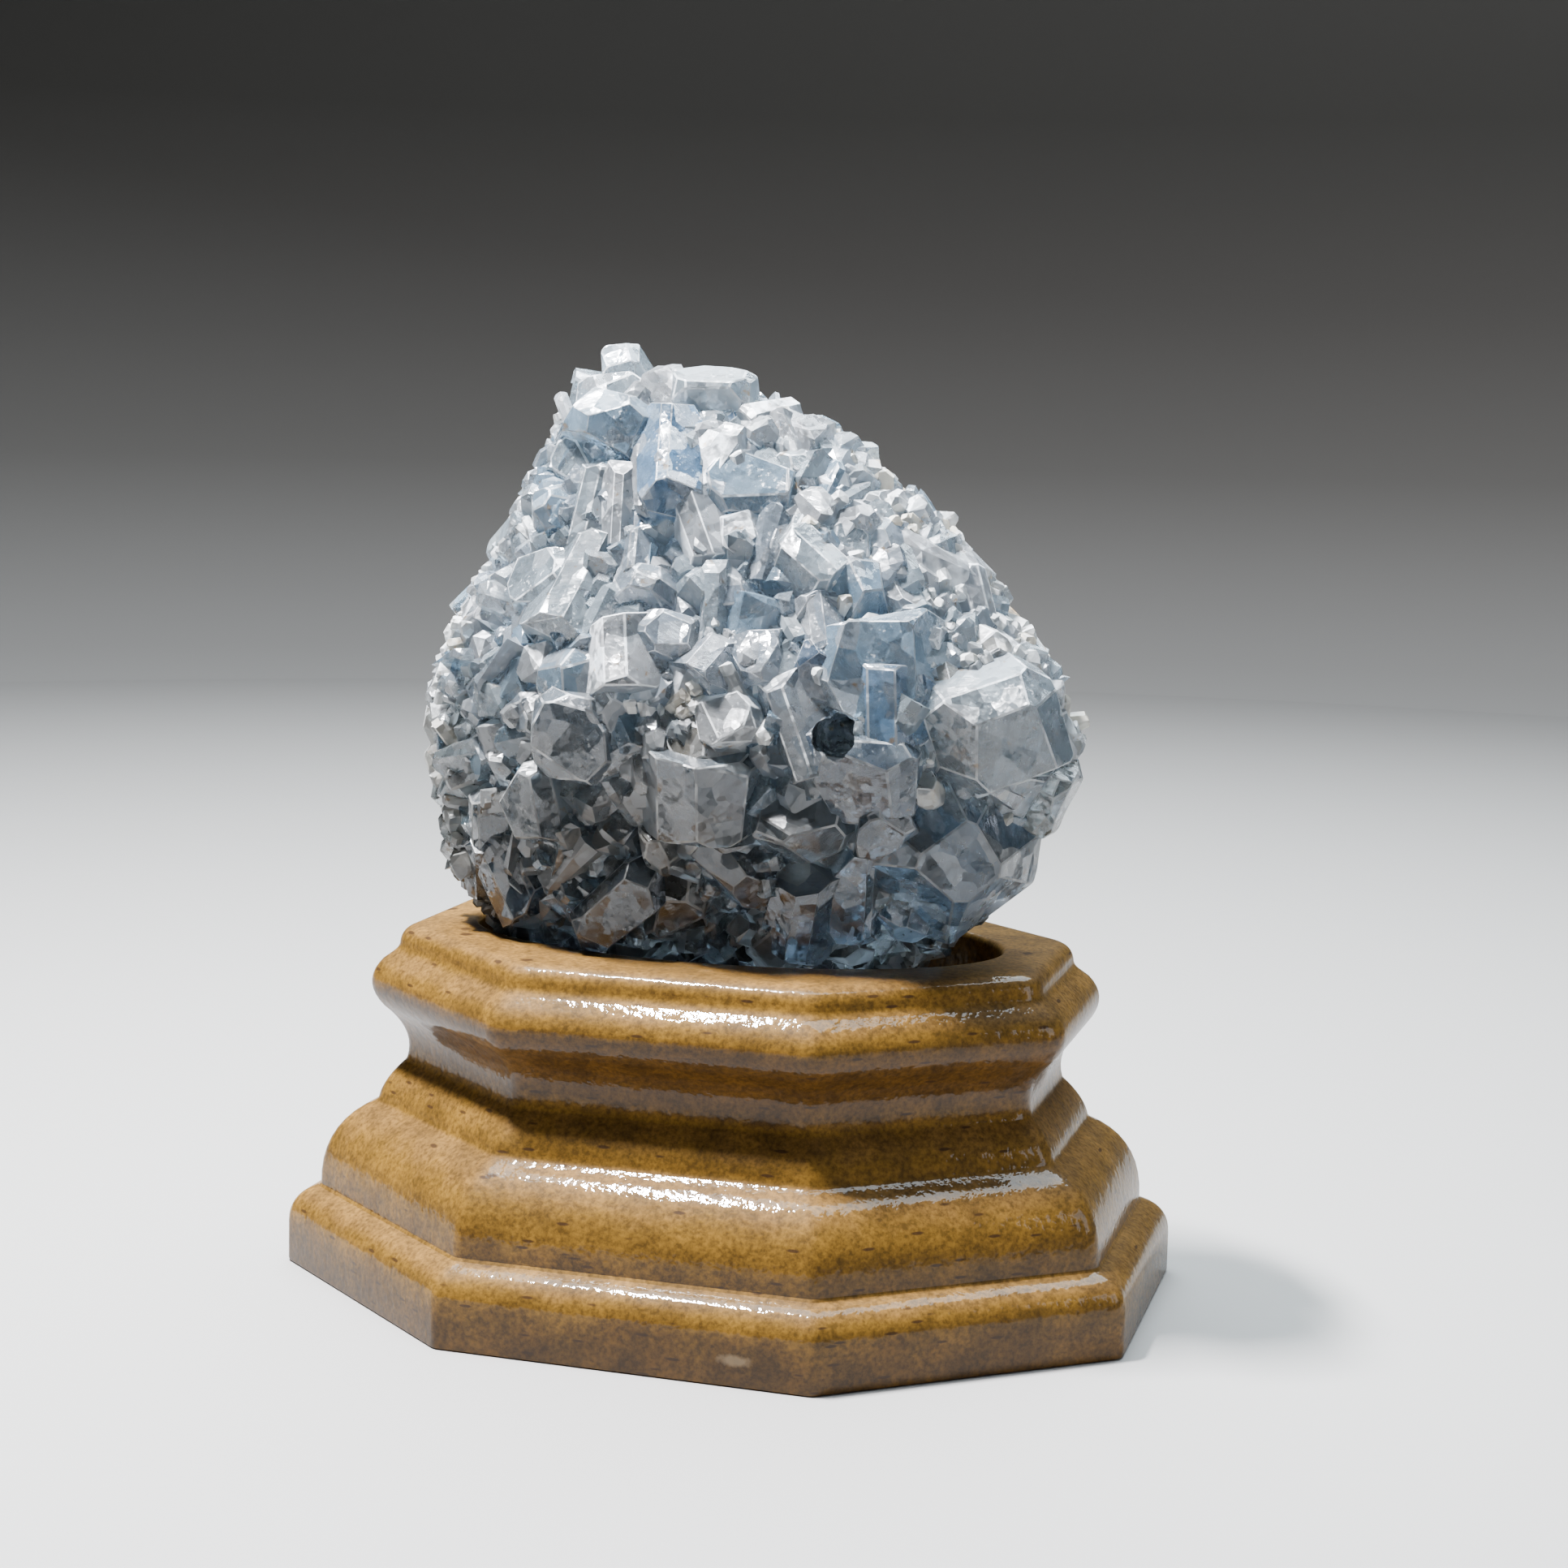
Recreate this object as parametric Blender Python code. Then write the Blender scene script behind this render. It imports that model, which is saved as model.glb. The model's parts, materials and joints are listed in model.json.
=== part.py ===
"""A celestite geode on its moulded fibreboard plinth.

Three pieces: the plinth with an oval recess in its top, the bed of celestite crystals that faces
the front, and the geode's rough wall behind it. Metres, +Z up, long side of the plinth along X,
origin at the middle of its underside.
"""

import itertools
import math
import random

import bmesh
import bpy
import numpy as np
from mathutils import Matrix, Vector, noise

MM = 0.001

# Plinth
PLINTH_LENGTH = 130.0
PLINTH_WIDTH = 101.0
PLINTH_HEIGHT = 52.6
CORNER_CUT_X = 37.3
CORNER_CUT_Y = 29.1
FOOT_CORNER_RADIUS = 2.0
RIM_CORNER_RADIUS = 5.5
CORNER_STEPS = 2

# Oval recess in the plinth's top
RECESS_LENGTH = 82.0
RECESS_WIDTH = 46.0
RECESS_DEPTH = 12.0
RECESS_ROUND = 1.0
RECESS_SIDES = 40
CUTTER_STANDS_PROUD = 2.0

# The block that keeps the specimen clear of the plinth
SEAT_HALF_SIDE = 90.0
SEAT_BELOW_RECESS = 25.0

# Gap that touching pieces keep
GAP = 0.3
SPECIMEN_FOOT = PLINTH_HEIGHT - RECESS_DEPTH + GAP

# The specimen's outline: height, left, right, front and back reach of the crystal tips
OUTLINE = (
    (SPECIMEN_FOOT, -33, 29, -15, 14),
    (52, -38, 32, -18, 17),
    (62, -45.5, 42, -24, 20),
    (74, -47, 48, -28, 22),
    (86, -48, 54, -30, 23),
    (96, -46, 49.5, -28, 22),
    (106, -40, 41, -24, 20),
    (116, -35, 33, -19, 18),
    (126, -31, 19, -14, 15),
    (134, -29, 4, -9, 11),
    (140, -24, -12, -4, 5),
)
OUTLINE_POWER = 2.4

# Druse bed that the crystals grow from, and the geode's wall behind it
BED_DEPTH = 9.0
BED_TOP = 131.0
BED_ROWS = 10
BED_SIDES = 18
WALL_INSET = 2.2
WALL_THICKNESS = 7.0
WALL_EDGE_THICKNESS = 3.5
WALL_WRAP = math.radians(9)
WALL_TOP = 134.5
WALL_ROWS = 16
WALL_STEPS = 18
WALL_LUMP = 3.2
WALL_LUMP_SIZE = 12.0
WALL_LUMP_SUNK = 0.35
WALL_FINE_LUMPS = 2.3
WALL_LUMP_FADE = 2.5
WALL_END_CLEARANCE = 0.05
WALL_CUTTER_REACH = 14.0
BELOW_FOOT = 3.0

# The crystals that stand out, row by row from the peak down: x and z of the tip, width, height and
# twist in degrees
MAIN_CRYSTALS = (
    (-18, 138.5, 4.5, 4.5, 20),
    (-22, 134, 11, 7, 12),
    (-20, 129, 12, 8, -8),
    (-24, 124, 6, 6, 40),
    (-10.5, 134, 4, 6, 10),
    (-4, 135, 11, 5, -5),
    (-7, 125, 6.5, 12.5, 8),
    (-1.5, 124.5, 5, 9, -14),
    (0.5, 131, 4, 5, 25),
    (6, 129, 7, 6, -20),
    (5.5, 121.5, 8.5, 6, -4),
    (-1.5, 115.5, 9, 8.5, 30),
    (-13.5, 118, 4, 8.5, 4),
    (-9, 116, 4, 4, 35),
    (-19, 117, 6.5, 10.5, -6),
    (-26, 117.5, 6, 6.5, 28),
    (-18.5, 107, 8.5, 12, -12),
    (-26, 107.5, 8, 6.5, 18),
    (-25, 100.5, 8.5, 8, -26),
    (-10, 111.5, 6.5, 5.5, 6),
    (-7.5, 106.5, 7.5, 5, -10),
    (5, 106.5, 8, 7.5, 32),
    (-2.5, 100, 7, 5, -16),
    (-9, 97, 11.5, 7, 10),
    (3.5, 97.5, 7.5, 5.5, -30),
    (10, 98.5, 6, 7, 8),
    (-19, 93, 8, 8.5, 14),
    (-12, 90, 6, 6, -22),
    (-26, 86.5, 8, 8, 34),
    (-15.5, 84.5, 10, 10, -8),
    (7, 90, 7, 7, 18),
    (0, 92.5, 7, 6.5, -14),
    (2.5, 85, 11.5, 6, 6),
    (0.5, 77.5, 14.5, 10, -6),
    (-24, 73.5, 7.5, 10.5, 8),
    (-33.5, 69.5, 5.5, 8, -12),
    (-32.5, 61, 10, 11, 24),
    (-3.5, 69, 4, 7.5, 16),
    (-10.5, 60.5, 17.5, 6, 42),
    (-2.5, 59.5, 12, 10.5, -20),
    (28, 97, 12, 9, 12),
    (20.5, 95.5, 7, 6.5, -24),
    (28.5, 91, 10, 8.5, 4),
    (16.5, 88, 9, 12, 22),
    (25.5, 81, 13, 10, -8),
    (19.5, 72, 11.5, 11, 30),
    (29, 72.5, 6.5, 8, -14),
    (38, 70.5, 18.5, 21, 38),
    (45, 86, 15, 14.5, 20),
    (46, 77, 11, 8, -10),
    (34.5, 79, 4, 9, 36),
    (9.5, 64, 11.5, 10.5, 14),
    (17.5, 60.5, 9, 11.5, -10),
    (25.5, 63.5, 7, 11, 6),
    (31, 59, 9, 6.5, -28),
    (23.5, 53.5, 11.5, 5, 4),
    (12, 55.5, 9.5, 7, 18),
    (38.5, 96, 7, 7, -18),
    (12, 124, 5, 5, 26),
    (11, 120.5, 6, 7, -12),
    (21, 113, 4.5, 7, 8),
    (24.5, 108, 7.5, 10, -6),
    (17, 112, 6, 7.5, 30),
    (13, 113.5, 5.5, 7.5, -20),
    (18, 102.5, 7.5, 7, 16),
    (27.5, 114.5, 5.5, 5.5, -32),
    (25.5, 120, 7.5, 4, 10),
    (31, 108, 6.5, 7, 22),
    (39, 106, 5, 7.5, -8),
    (33.5, 101, 5, 5, 28),
    (42, 99.5, 6, 5, -16),
    (45.5, 98.5, 7, 7.5, 12),
    (50.5, 91, 6, 6, 10),
    (53, 84.5, 7, 6.5, -20),
    (50.5, 77.5, 8, 8, 24),
    (43, 66, 8, 8, -12),
    (-45, 92, 6, 5, 16),
    (-47, 84, 5.5, 6, -24),
    (-46.5, 75.5, 6, 6.5, 30),
    (-45.5, 66, 6.5, 7, -10),
    (-41, 58, 8, 7.5, 12),
    (-41.5, 102, 6, 5, -18),
    (-36.5, 112, 5.5, 5, 22),
)

# Smaller crystals that fill the bed between them
FILLER_SEED = 23
FILLER_COUNT = 24
FILLER_SIZE = (4.5, 8.0)
FILLER_LENGTH = 11.0
FILLER_SUNK = 2.0
FILLER_EDGE_PULL = 0.6
CRYSTAL_BURIED = 3.0
CRYSTAL_LEAN = 0.3
PROUD_SHARE = 0.3
PROUD_FROM = 7.0
SMALLEST_EDGE = 0.15

COLOURS = {
    "moulded_plinth": ((0.40, 0.235, 0.10), 0.28),
    "celestite_crystals": ((0.47, 0.60, 0.72), 0.22),
    "geode_wall": ((0.66, 0.62, 0.54), 0.90),
}


def clear_scene():
    for obj in list(bpy.data.objects):
        bpy.data.objects.remove(obj, do_unlink=True)


def new_collection(name, hidden=False):
    collection = bpy.data.collections.new(name)
    bpy.context.scene.collection.children.link(collection)
    collection.hide_render = hidden
    return collection


def material(name):
    colour, roughness = COLOURS[name]
    made = bpy.data.materials.new(name)
    made.use_nodes = True
    shader = made.node_tree.nodes["Principled BSDF"]
    shader.inputs["Base Color"].default_value = (*colour, 1.0)
    shader.inputs["Roughness"].default_value = roughness
    shader.inputs["Metallic"].default_value = 0.0
    return made


def object_from(name, bm, collection):
    """Turns millimetres into metres, points the faces outwards and makes the object."""
    bmesh.ops.scale(bm, vec=(MM, MM, MM), verts=bm.verts)
    bmesh.ops.recalc_face_normals(bm, faces=bm.faces)
    mesh = bpy.data.meshes.new(name)
    bm.to_mesh(mesh)
    bm.free()
    obj = bpy.data.objects.new(name, mesh)
    collection.objects.link(obj)
    return obj


def helper(obj):
    obj.hide_render = True
    obj.display_type = "WIRE"
    return obj


def loft(rings):
    """A closed solid through rings that have the same number of points."""
    bm = bmesh.new()
    rows = [[bm.verts.new(point) for point in ring] for ring in rings]
    for low, high in zip(rows, rows[1:]):
        for i in range(len(low)):
            j = (i + 1) % len(low)
            bm.faces.new((low[i], low[j], high[j], high[i]))
    bm.faces.new(reversed(rows[0]))
    bm.faces.new(rows[-1])
    return bm


def add_boolean(obj, operation, other):
    modifier = obj.modifiers.new(operation.title(), "BOOLEAN")
    modifier.operation = operation
    modifier.solver = "EXACT"
    if isinstance(other, bpy.types.Collection):
        modifier.operand_type = "COLLECTION"
        modifier.collection = other
    else:
        modifier.object = other


# The plinth


def curve(start, pull, end, steps):
    """Points of one moulding member between two (inset, height) pairs, bent towards the pull point."""
    a, b, c = Vector(start), Vector(pull), Vector(end)
    ts = [i / steps for i in range(steps + 1)]
    return [a * (1 - t) ** 2 + b * 2 * t * (1 - t) + c * t * t for t in ts]


def moulding():
    """The plinth's side from the floor to the rim, as (inset, height)."""
    top = PLINTH_HEIGHT
    foot = [Vector((0.4, 0.0)), Vector((0.0, 0.5))] + curve((0, 6.4), (0, 10.6), (4.1, 11.8), 4)
    step = curve((4.4, 12.2), (4.2, 21.6), (11.8, 25.0), 5)
    fillet = curve((12.2, 25.5), (12.7, 28.2), (15.7, 31.2), 3)
    cove = curve((16.0, 31.6), (17.3, 36.2), (12.7, 40.2), 5)
    lip = curve((12.7, 40.2), (9.6, 43.9), (12.6, 47.2), 5)[1:]
    crease = [Vector((14.5, 48.8))]
    rim = curve((14.9, 49.6), (15.1, top), (18.2, top), 3)
    return foot + step + fillet + cove + lip + crease + rim


def octagon(inset):
    """The plinth's plan, anticlockwise, each side moved in by the inset."""
    x, y = PLINTH_LENGTH / 2, PLINTH_WIDTH / 2
    diagonal = math.hypot(CORNER_CUT_X, CORNER_CUT_Y)
    along_x = inset * (diagonal - CORNER_CUT_X) / CORNER_CUT_Y
    along_y = inset * (diagonal - CORNER_CUT_Y) / CORNER_CUT_X
    front_x = x - CORNER_CUT_X - along_x
    side_y = y - CORNER_CUT_Y - along_y
    x, y = x - inset, y - inset
    quarter = [Vector((x, side_y)), Vector((front_x, y))]
    half = quarter + [Vector((-p.x, p.y)) for p in reversed(quarter)]
    return half + [-p for p in half]


def rounded(corners, radius):
    """Replaces each corner of an anticlockwise outline with an arc."""
    points = []
    for i, corner in enumerate(corners):
        before = (corner - corners[i - 1]).normalized()
        after = (corners[(i + 1) % len(corners)] - corner).normalized()
        turn = math.acos(max(-1.0, min(1.0, before.dot(after))))
        inwards = Vector((-before.y, before.x))
        centre = corner - before * radius * math.tan(turn / 2) + inwards * radius
        for step in range(CORNER_STEPS + 1):
            spoke = -inwards * radius
            spoke.rotate(Matrix.Rotation(turn * step / CORNER_STEPS, 2))
            points.append(centre + spoke)
    return points


def ellipse(grow, height):
    turns = [2 * math.pi * i / RECESS_SIDES for i in range(RECESS_SIDES)]
    a, b = RECESS_LENGTH / 2 + grow, RECESS_WIDTH / 2 + grow
    return [(a * math.cos(t), b * math.sin(t), height) for t in turns]


def recess_form(grow, floor, top):
    """The recess as a solid, its mouth rounded outwards at the top."""
    edge = top - RECESS_ROUND
    rings = [ellipse(grow, floor), ellipse(grow, edge)]
    for turn in (30, 60, 90):
        angle = math.radians(turn)
        flare = RECESS_ROUND * (1 - math.cos(angle))
        rings.append(ellipse(grow + flare, edge + RECESS_ROUND * math.sin(angle)))
    rings.append(ellipse(grow + RECESS_ROUND, top + CUTTER_STANDS_PROUD))
    return loft(rings)


def make_plinth(parts, cutters):
    rings = []
    for inset, height in moulding():
        share = height / PLINTH_HEIGHT
        radius = FOOT_CORNER_RADIUS + (RIM_CORNER_RADIUS - FOOT_CORNER_RADIUS) * share
        rings.append([(p.x, p.y, height) for p in rounded(octagon(inset), radius)])
    plinth = object_from("moulded_plinth", loft(rings), parts)
    recess = recess_form(0.0, PLINTH_HEIGHT - RECESS_DEPTH, PLINTH_HEIGHT)
    add_boolean(plinth, "DIFFERENCE", helper(object_from("recess_cutter", recess, cutters)))
    return plinth


def make_seat(cutters):
    """What the specimen keeps clear of: the plinth's top with the recess in it, a gap inside."""
    rim = PLINTH_HEIGHT + GAP
    floor = SPECIMEN_FOOT
    side = SEAT_HALF_SIDE
    square = ((side, side), (-side, side), (-side, -side), (side, -side))
    block = loft([[(x, y, z) for x, y in square] for z in (floor - SEAT_BELOW_RECESS, rim)])
    seat = helper(object_from("seat_cutter", block, cutters))
    hole = recess_form(-2 * GAP, floor, rim)
    add_boolean(seat, "DIFFERENCE", helper(object_from("seat_hole_cutter", hole, cutters)))
    return seat


# The specimen's form


def reach(height):
    """Middle, half width, front and back reach of the outline at a height."""
    rows = np.array(OUTLINE, float)
    left, right, front, back = (np.interp(height, rows[:, 0], rows[:, i]) for i in range(1, 5))
    return (left + right) / 2, (right - left) / 2, -front, back


def outline_point(height, angle, inset, least=1.5):
    """A point round the form: angle 0 is to the right, 90 degrees is the back."""
    middle, half, front, back = reach(height)
    depth = back if math.sin(angle) > 0 else front
    half, depth = max(half - inset, least), max(depth - inset, least)
    c, s = math.cos(angle), math.sin(angle)
    bulge = (abs(c) ** OUTLINE_POWER + abs(s) ** OUTLINE_POWER) ** (-1 / OUTLINE_POWER)
    return Vector((middle + half * c * bulge, depth * s * bulge, height))


def fullness(point):
    """1 on the form's surface, less inside."""
    middle, half, front, back = reach(point.z)
    depth = back if point.y > 0 else front
    across, through = abs(point.x - middle) / half, abs(point.y) / depth
    return (across**OUTLINE_POWER + through**OUTLINE_POWER) ** (1 / OUTLINE_POWER)


def front_surface(x, z):
    """Where the crystal tips reach at x and z, on the front."""
    middle, half, front, _ = reach(z)
    across = min(abs(x - middle) / half, 0.985)
    return Vector((x, -front * (1 - across**OUTLINE_POWER) ** (1 / OUTLINE_POWER), z))


def outwards(point):
    step = 1.5
    slope = Vector()
    for axis in range(3):
        move = Vector()
        move[axis] = step
        slope[axis] = fullness(point + move) - fullness(point - move)
    return slope.normalized()


def make_bed(parts):
    """The druse that the crystals share, a bit inside their tips."""
    rings = []
    for row in range(BED_ROWS):
        share = row / (BED_ROWS - 1)
        height = SPECIMEN_FOOT - BELOW_FOOT + (BED_TOP - SPECIMEN_FOOT + BELOW_FOOT) * share
        turns = [2 * math.pi * i / BED_SIDES for i in range(BED_SIDES)]
        rings.append([outline_point(height, turn, BED_DEPTH) for turn in turns])
    return object_from("druse_bed", loft(rings), parts)


def wall_form(grow, outer_grow, lumps):
    """The geode's wall as a crescent that wraps the back of the bed, grown where a gap is wanted."""
    wrap = WALL_WRAP + grow * WALL_END_CLEARANCE
    start, end = -wrap, math.pi + wrap
    foot = SPECIMEN_FOOT - BELOW_FOOT
    rings = []
    for row in range(WALL_ROWS):
        share = row / (WALL_ROWS - 1)
        height = foot + (WALL_TOP + 2 * grow - foot) * share
        outer, inner = [], []
        for step in range(WALL_STEPS + 1):
            angle = start + (end - start) * step / WALL_STEPS
            middle_share = math.sin(math.pi * step / WALL_STEPS)
            edge = WALL_EDGE_THICKNESS
            thickness = edge + (WALL_THICKNESS - edge) * middle_share + grow
            point = outline_point(height, angle, WALL_INSET - outer_grow)
            if lumps:
                at = point / WALL_LUMP_SIZE
                rough = noise.noise(at) + 0.5 * noise.noise(at * WALL_FINE_LUMPS)
                faded = WALL_LUMP * min(1.0, WALL_LUMP_FADE * middle_share)
                push = outwards(point) * faded * (rough - WALL_LUMP_SUNK)
                point += Vector((push.x, push.y, 0))
            outer.append(point)
            inner.append(outline_point(height, angle, WALL_INSET + thickness, 1.5 - grow))
        rings.append(outer + inner[::-1])
    return loft(rings)


# Crystals


def flat_faces(width, height, length, rng, plain):
    """One blocky crystal as planes (normal, distance), grown along +Z with its tip face at 0."""
    half_w, half_h = width / 2, height / 2
    bevel = min(half_w, half_h)
    planes = [((0, 0, 1), 0.0), ((0, 0, -1), length)]
    for side in (-1, 1):
        planes.append(((side, 0, 0.05), half_w * rng.uniform(0.94, 1.0)))
        planes.append(((0, side, 0.05), half_h * rng.uniform(0.94, 1.0)))
        planes.append(((side, 0, 1.0), half_w - bevel * rng.uniform(0.35, 0.7)))
        if plain:
            continue
        planes.append(((0, side, 0.8), half_h - bevel * rng.uniform(0.3, 0.75)))
        for other in (-1, 1):
            normal = Vector((side * half_h, other * half_w, 0)).normalized()
            corner = normal.dot(Vector((side * half_w, other * half_h, 0)))
            planes.append((tuple(normal), corner * rng.uniform(0.78, 0.92)))
    return planes


def corners_of(planes):
    """The corner points of the space inside all the planes."""
    normals = np.array([plane[0] for plane in planes], float)
    distances = np.array([plane[1] for plane in planes], float)
    triples = np.array(list(itertools.combinations(range(len(planes)), 3)))
    square = normals[triples]
    solvable = np.abs(np.linalg.det(square)) > 1e-4
    triples, square = triples[solvable], square[solvable]
    points = np.linalg.solve(square, distances[triples][..., None])[..., 0]
    inside = (points @ normals.T <= distances + 1e-6).all(axis=1)
    return np.unique(np.round(points[inside], 3), axis=0)


def crystal(width, height, length, rng, plain):
    """The crystal as the hull of its corners, its flat faces whole."""
    planes = flat_faces(width, height, length, rng, plain)
    bm = bmesh.new()
    verts = [bm.verts.new(point) for point in corners_of(planes)]
    bmesh.ops.remove_doubles(bm, verts=verts, dist=SMALLEST_EDGE)
    bmesh.ops.convex_hull(bm, input=bm.verts)
    flat = math.radians(0.5)
    bmesh.ops.dissolve_limit(bm, angle_limit=flat, verts=bm.verts, edges=bm.edges)
    return bm


def place(bm, tip, direction, twist):
    """Turns a crystal so that it grows along direction with its width level, then twists it."""
    forwards = direction.normalized()
    level = Vector((0, 0, 1)).cross(forwards)
    if level.length < 0.1:
        level = Vector((1, 0, 0))
    level.normalize()
    turned = Matrix((level, forwards.cross(level), forwards)).transposed()
    turned = turned @ Matrix.Rotation(twist, 3, "Z")
    bmesh.ops.transform(bm, matrix=Matrix.Translation(tip) @ turned.to_4x4(), verts=bm.verts)


def grow_crystal(name, x, z, width, height, length, twist, proud, rng, growths):
    surface = front_surface(x, z)
    lean = Vector([rng.uniform(-1, 1) * CRYSTAL_LEAN for _ in range(3)])
    direction = (outwards(surface) + lean).normalized()
    bm = crystal(width, height, length + proud, rng, plain=proud < 0)
    place(bm, surface + direction * proud, direction, twist)
    helper(object_from(name, bm, growths))


def make_crystals(parts, growths, wall_clearance, seat):
    bed = make_bed(parts)
    rng = random.Random(7)
    for index, (x, z, width, height, twist) in enumerate(MAIN_CRYSTALS):
        length = BED_DEPTH + CRYSTAL_BURIED
        proud = max(0.0, PROUD_SHARE * (max(width, height) - PROUD_FROM))
        name = f"main_crystal_{index:02d}"
        turn = math.radians(twist)
        grow_crystal(name, x, z, width, height, length, turn, proud, rng, growths)
    rng = random.Random(FILLER_SEED)
    for index in range(FILLER_COUNT):
        z = rng.uniform(SPECIMEN_FOOT + 1, 132)
        middle, half, _, _ = reach(z)
        across = rng.uniform(-1, 1)
        x = middle + half * math.copysign(abs(across) ** FILLER_EDGE_PULL, across)
        width, height = rng.uniform(*FILLER_SIZE), rng.uniform(*FILLER_SIZE)
        name = f"filler_crystal_{index:02d}"
        twist = rng.uniform(0, math.pi)
        length = FILLER_LENGTH + FILLER_SUNK
        grow_crystal(name, x, z, width, height, length, twist, -FILLER_SUNK, rng, growths)
    add_boolean(bed, "UNION", growths)
    add_boolean(bed, "DIFFERENCE", wall_clearance)
    add_boolean(bed, "DIFFERENCE", seat)
    return baked(bed, "celestite_crystals", parts)


def baked(obj, name, parts):
    """The object with its modifiers applied, as its largest closed shell alone."""
    graph = bpy.context.evaluated_depsgraph_get()
    mesh = bpy.data.meshes.new_from_object(obj.evaluated_get(graph))
    bpy.data.objects.remove(obj, do_unlink=True)
    bm = bmesh.new()
    bm.from_mesh(mesh)
    bpy.data.meshes.remove(mesh)
    bmesh.ops.remove_doubles(bm, verts=bm.verts, dist=2e-6)
    bmesh.ops.triangulate(bm, faces=bm.faces)
    shells = shells_of(bm)
    kept = max(shells, key=lambda shell: shell_volume(shell))
    spare = [face for shell in shells if shell is not kept for face in shell]
    bmesh.ops.delete(bm, geom=spare, context="FACES")
    mesh = bpy.data.meshes.new(name)
    bm.to_mesh(mesh)
    bm.free()
    made = bpy.data.objects.new(name, mesh)
    parts.objects.link(made)
    return made


def shells_of(bm):
    """The faces in groups that hang together."""
    left = set(bm.faces)
    shells = []
    while left:
        grown = [left.pop()]
        for face in grown:
            near = {other for edge in face.edges for other in edge.link_faces} & left
            left -= near
            grown.extend(near)
        shells.append(grown)
    return shells


def shell_volume(shell):
    total = 0.0
    for face in shell:
        a, b, c = (vert.co for vert in face.verts)
        total += a.dot(b.cross(c)) / 6
    return total


def make_wall(parts, cutters, seat):
    wall = object_from("wall_crescent", wall_form(0.0, 0.0, True), parts)
    add_boolean(wall, "DIFFERENCE", seat)
    clearance = helper(object_from("wall_cutter", wall_form(GAP, WALL_CUTTER_REACH, False), cutters))
    return baked(wall, "geode_wall", parts), clearance


def main():
    clear_scene()
    parts = new_collection("celestite_geode")
    cutters = new_collection("cutters", hidden=True)
    growths = new_collection("crystal_growths", hidden=True)
    plinth = make_plinth(parts, cutters)
    seat = make_seat(cutters)
    wall, wall_clearance = make_wall(parts, cutters, seat)
    crystals = make_crystals(parts, growths, wall_clearance, seat)
    for obj in (plinth, wall, crystals):
        obj.data.materials.append(material(obj.name))


main()
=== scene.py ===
import itertools
import math
import random
import bmesh
import bpy
import numpy as np
from mathutils import Matrix, Vector, noise
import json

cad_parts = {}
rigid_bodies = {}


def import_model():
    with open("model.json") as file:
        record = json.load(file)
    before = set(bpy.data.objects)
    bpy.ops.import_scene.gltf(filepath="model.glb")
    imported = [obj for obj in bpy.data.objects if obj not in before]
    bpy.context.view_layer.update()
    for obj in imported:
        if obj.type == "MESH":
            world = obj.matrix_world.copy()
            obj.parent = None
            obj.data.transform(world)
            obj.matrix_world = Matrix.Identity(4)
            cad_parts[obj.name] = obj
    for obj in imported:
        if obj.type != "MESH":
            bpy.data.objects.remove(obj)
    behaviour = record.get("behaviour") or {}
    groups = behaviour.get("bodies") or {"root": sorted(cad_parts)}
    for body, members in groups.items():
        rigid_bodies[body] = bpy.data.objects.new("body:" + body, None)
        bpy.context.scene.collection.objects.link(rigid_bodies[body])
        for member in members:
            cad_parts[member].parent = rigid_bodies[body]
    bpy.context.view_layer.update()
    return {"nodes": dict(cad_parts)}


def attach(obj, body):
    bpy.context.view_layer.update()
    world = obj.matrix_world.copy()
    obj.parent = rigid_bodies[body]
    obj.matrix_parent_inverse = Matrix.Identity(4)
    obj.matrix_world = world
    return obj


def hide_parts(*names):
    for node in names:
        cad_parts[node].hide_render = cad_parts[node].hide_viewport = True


# Celestite geode on a moulded fibreboard plinth. Sizes below are in millimetres unless a note says otherwise.

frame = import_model()
mm = 0.001
print("frame loaded:", sorted(frame["nodes"]))


# small helpers for nodes, colours and meshes

def toLinear(hexColour):
    values = [int(hexColour[i:i + 2], 16) / 255 for i in (1, 3, 5)]
    return tuple(v / 12.92 if v <= 0.04045 else ((v + 0.055) / 1.055) ** 2.4 for v in values) + (1.0,)


def addNode(tree, kind, settings=None, inputs=None):
    # an input takes a value, a socket, or a node, which then gives its first output
    made = tree.nodes.new(kind)
    for name, value in (settings or {}).items():
        if name == "stops":
            points = made.color_ramp.elements
            while len(points) < len(value):
                points.new(0.5)
            for point, (position, colour) in zip(points, value):
                point.position = position
                point.color = toLinear(colour) if isinstance(colour, str) else (colour, colour, colour, 1.0)
        else:
            setattr(made, name, value)
    for name, value in (inputs or {}).items():
        if isinstance(value, bpy.types.Node):
            value = value.outputs[0]
        if isinstance(value, bpy.types.NodeSocket):
            tree.links.new(value, made.inputs[name])
        else:
            made.inputs[name].default_value = value
    return made


def newMaterial(name):
    made = bpy.data.materials.new(name)
    made.use_nodes = True
    tree = made.node_tree
    tree.nodes.clear()
    shader = addNode(tree, "ShaderNodeBsdfPrincipled")
    output = addNode(tree, "ShaderNodeOutputMaterial", inputs={"Surface": shader.outputs[0]})
    place = addNode(tree, "ShaderNodeTexCoord").outputs["Object"]
    return made, tree, shader, output, place


def meshObject(name, bm):
    # millimetres to metres, faces outwards
    bmesh.ops.scale(bm, vec=(mm, mm, mm), verts=bm.verts)
    bmesh.ops.recalc_face_normals(bm, faces=bm.faces)
    mesh = bpy.data.meshes.new(name)
    bm.to_mesh(mesh)
    bm.free()
    return bpy.data.objects.new(name, mesh)


def linked(obj, collection=None):
    (collection or bpy.context.scene.collection).objects.link(obj)
    return obj


def hidden(name):
    collection = bpy.data.collections.new(name)
    bpy.context.scene.collection.children.link(collection)
    collection.hide_render = True
    return collection


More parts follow.
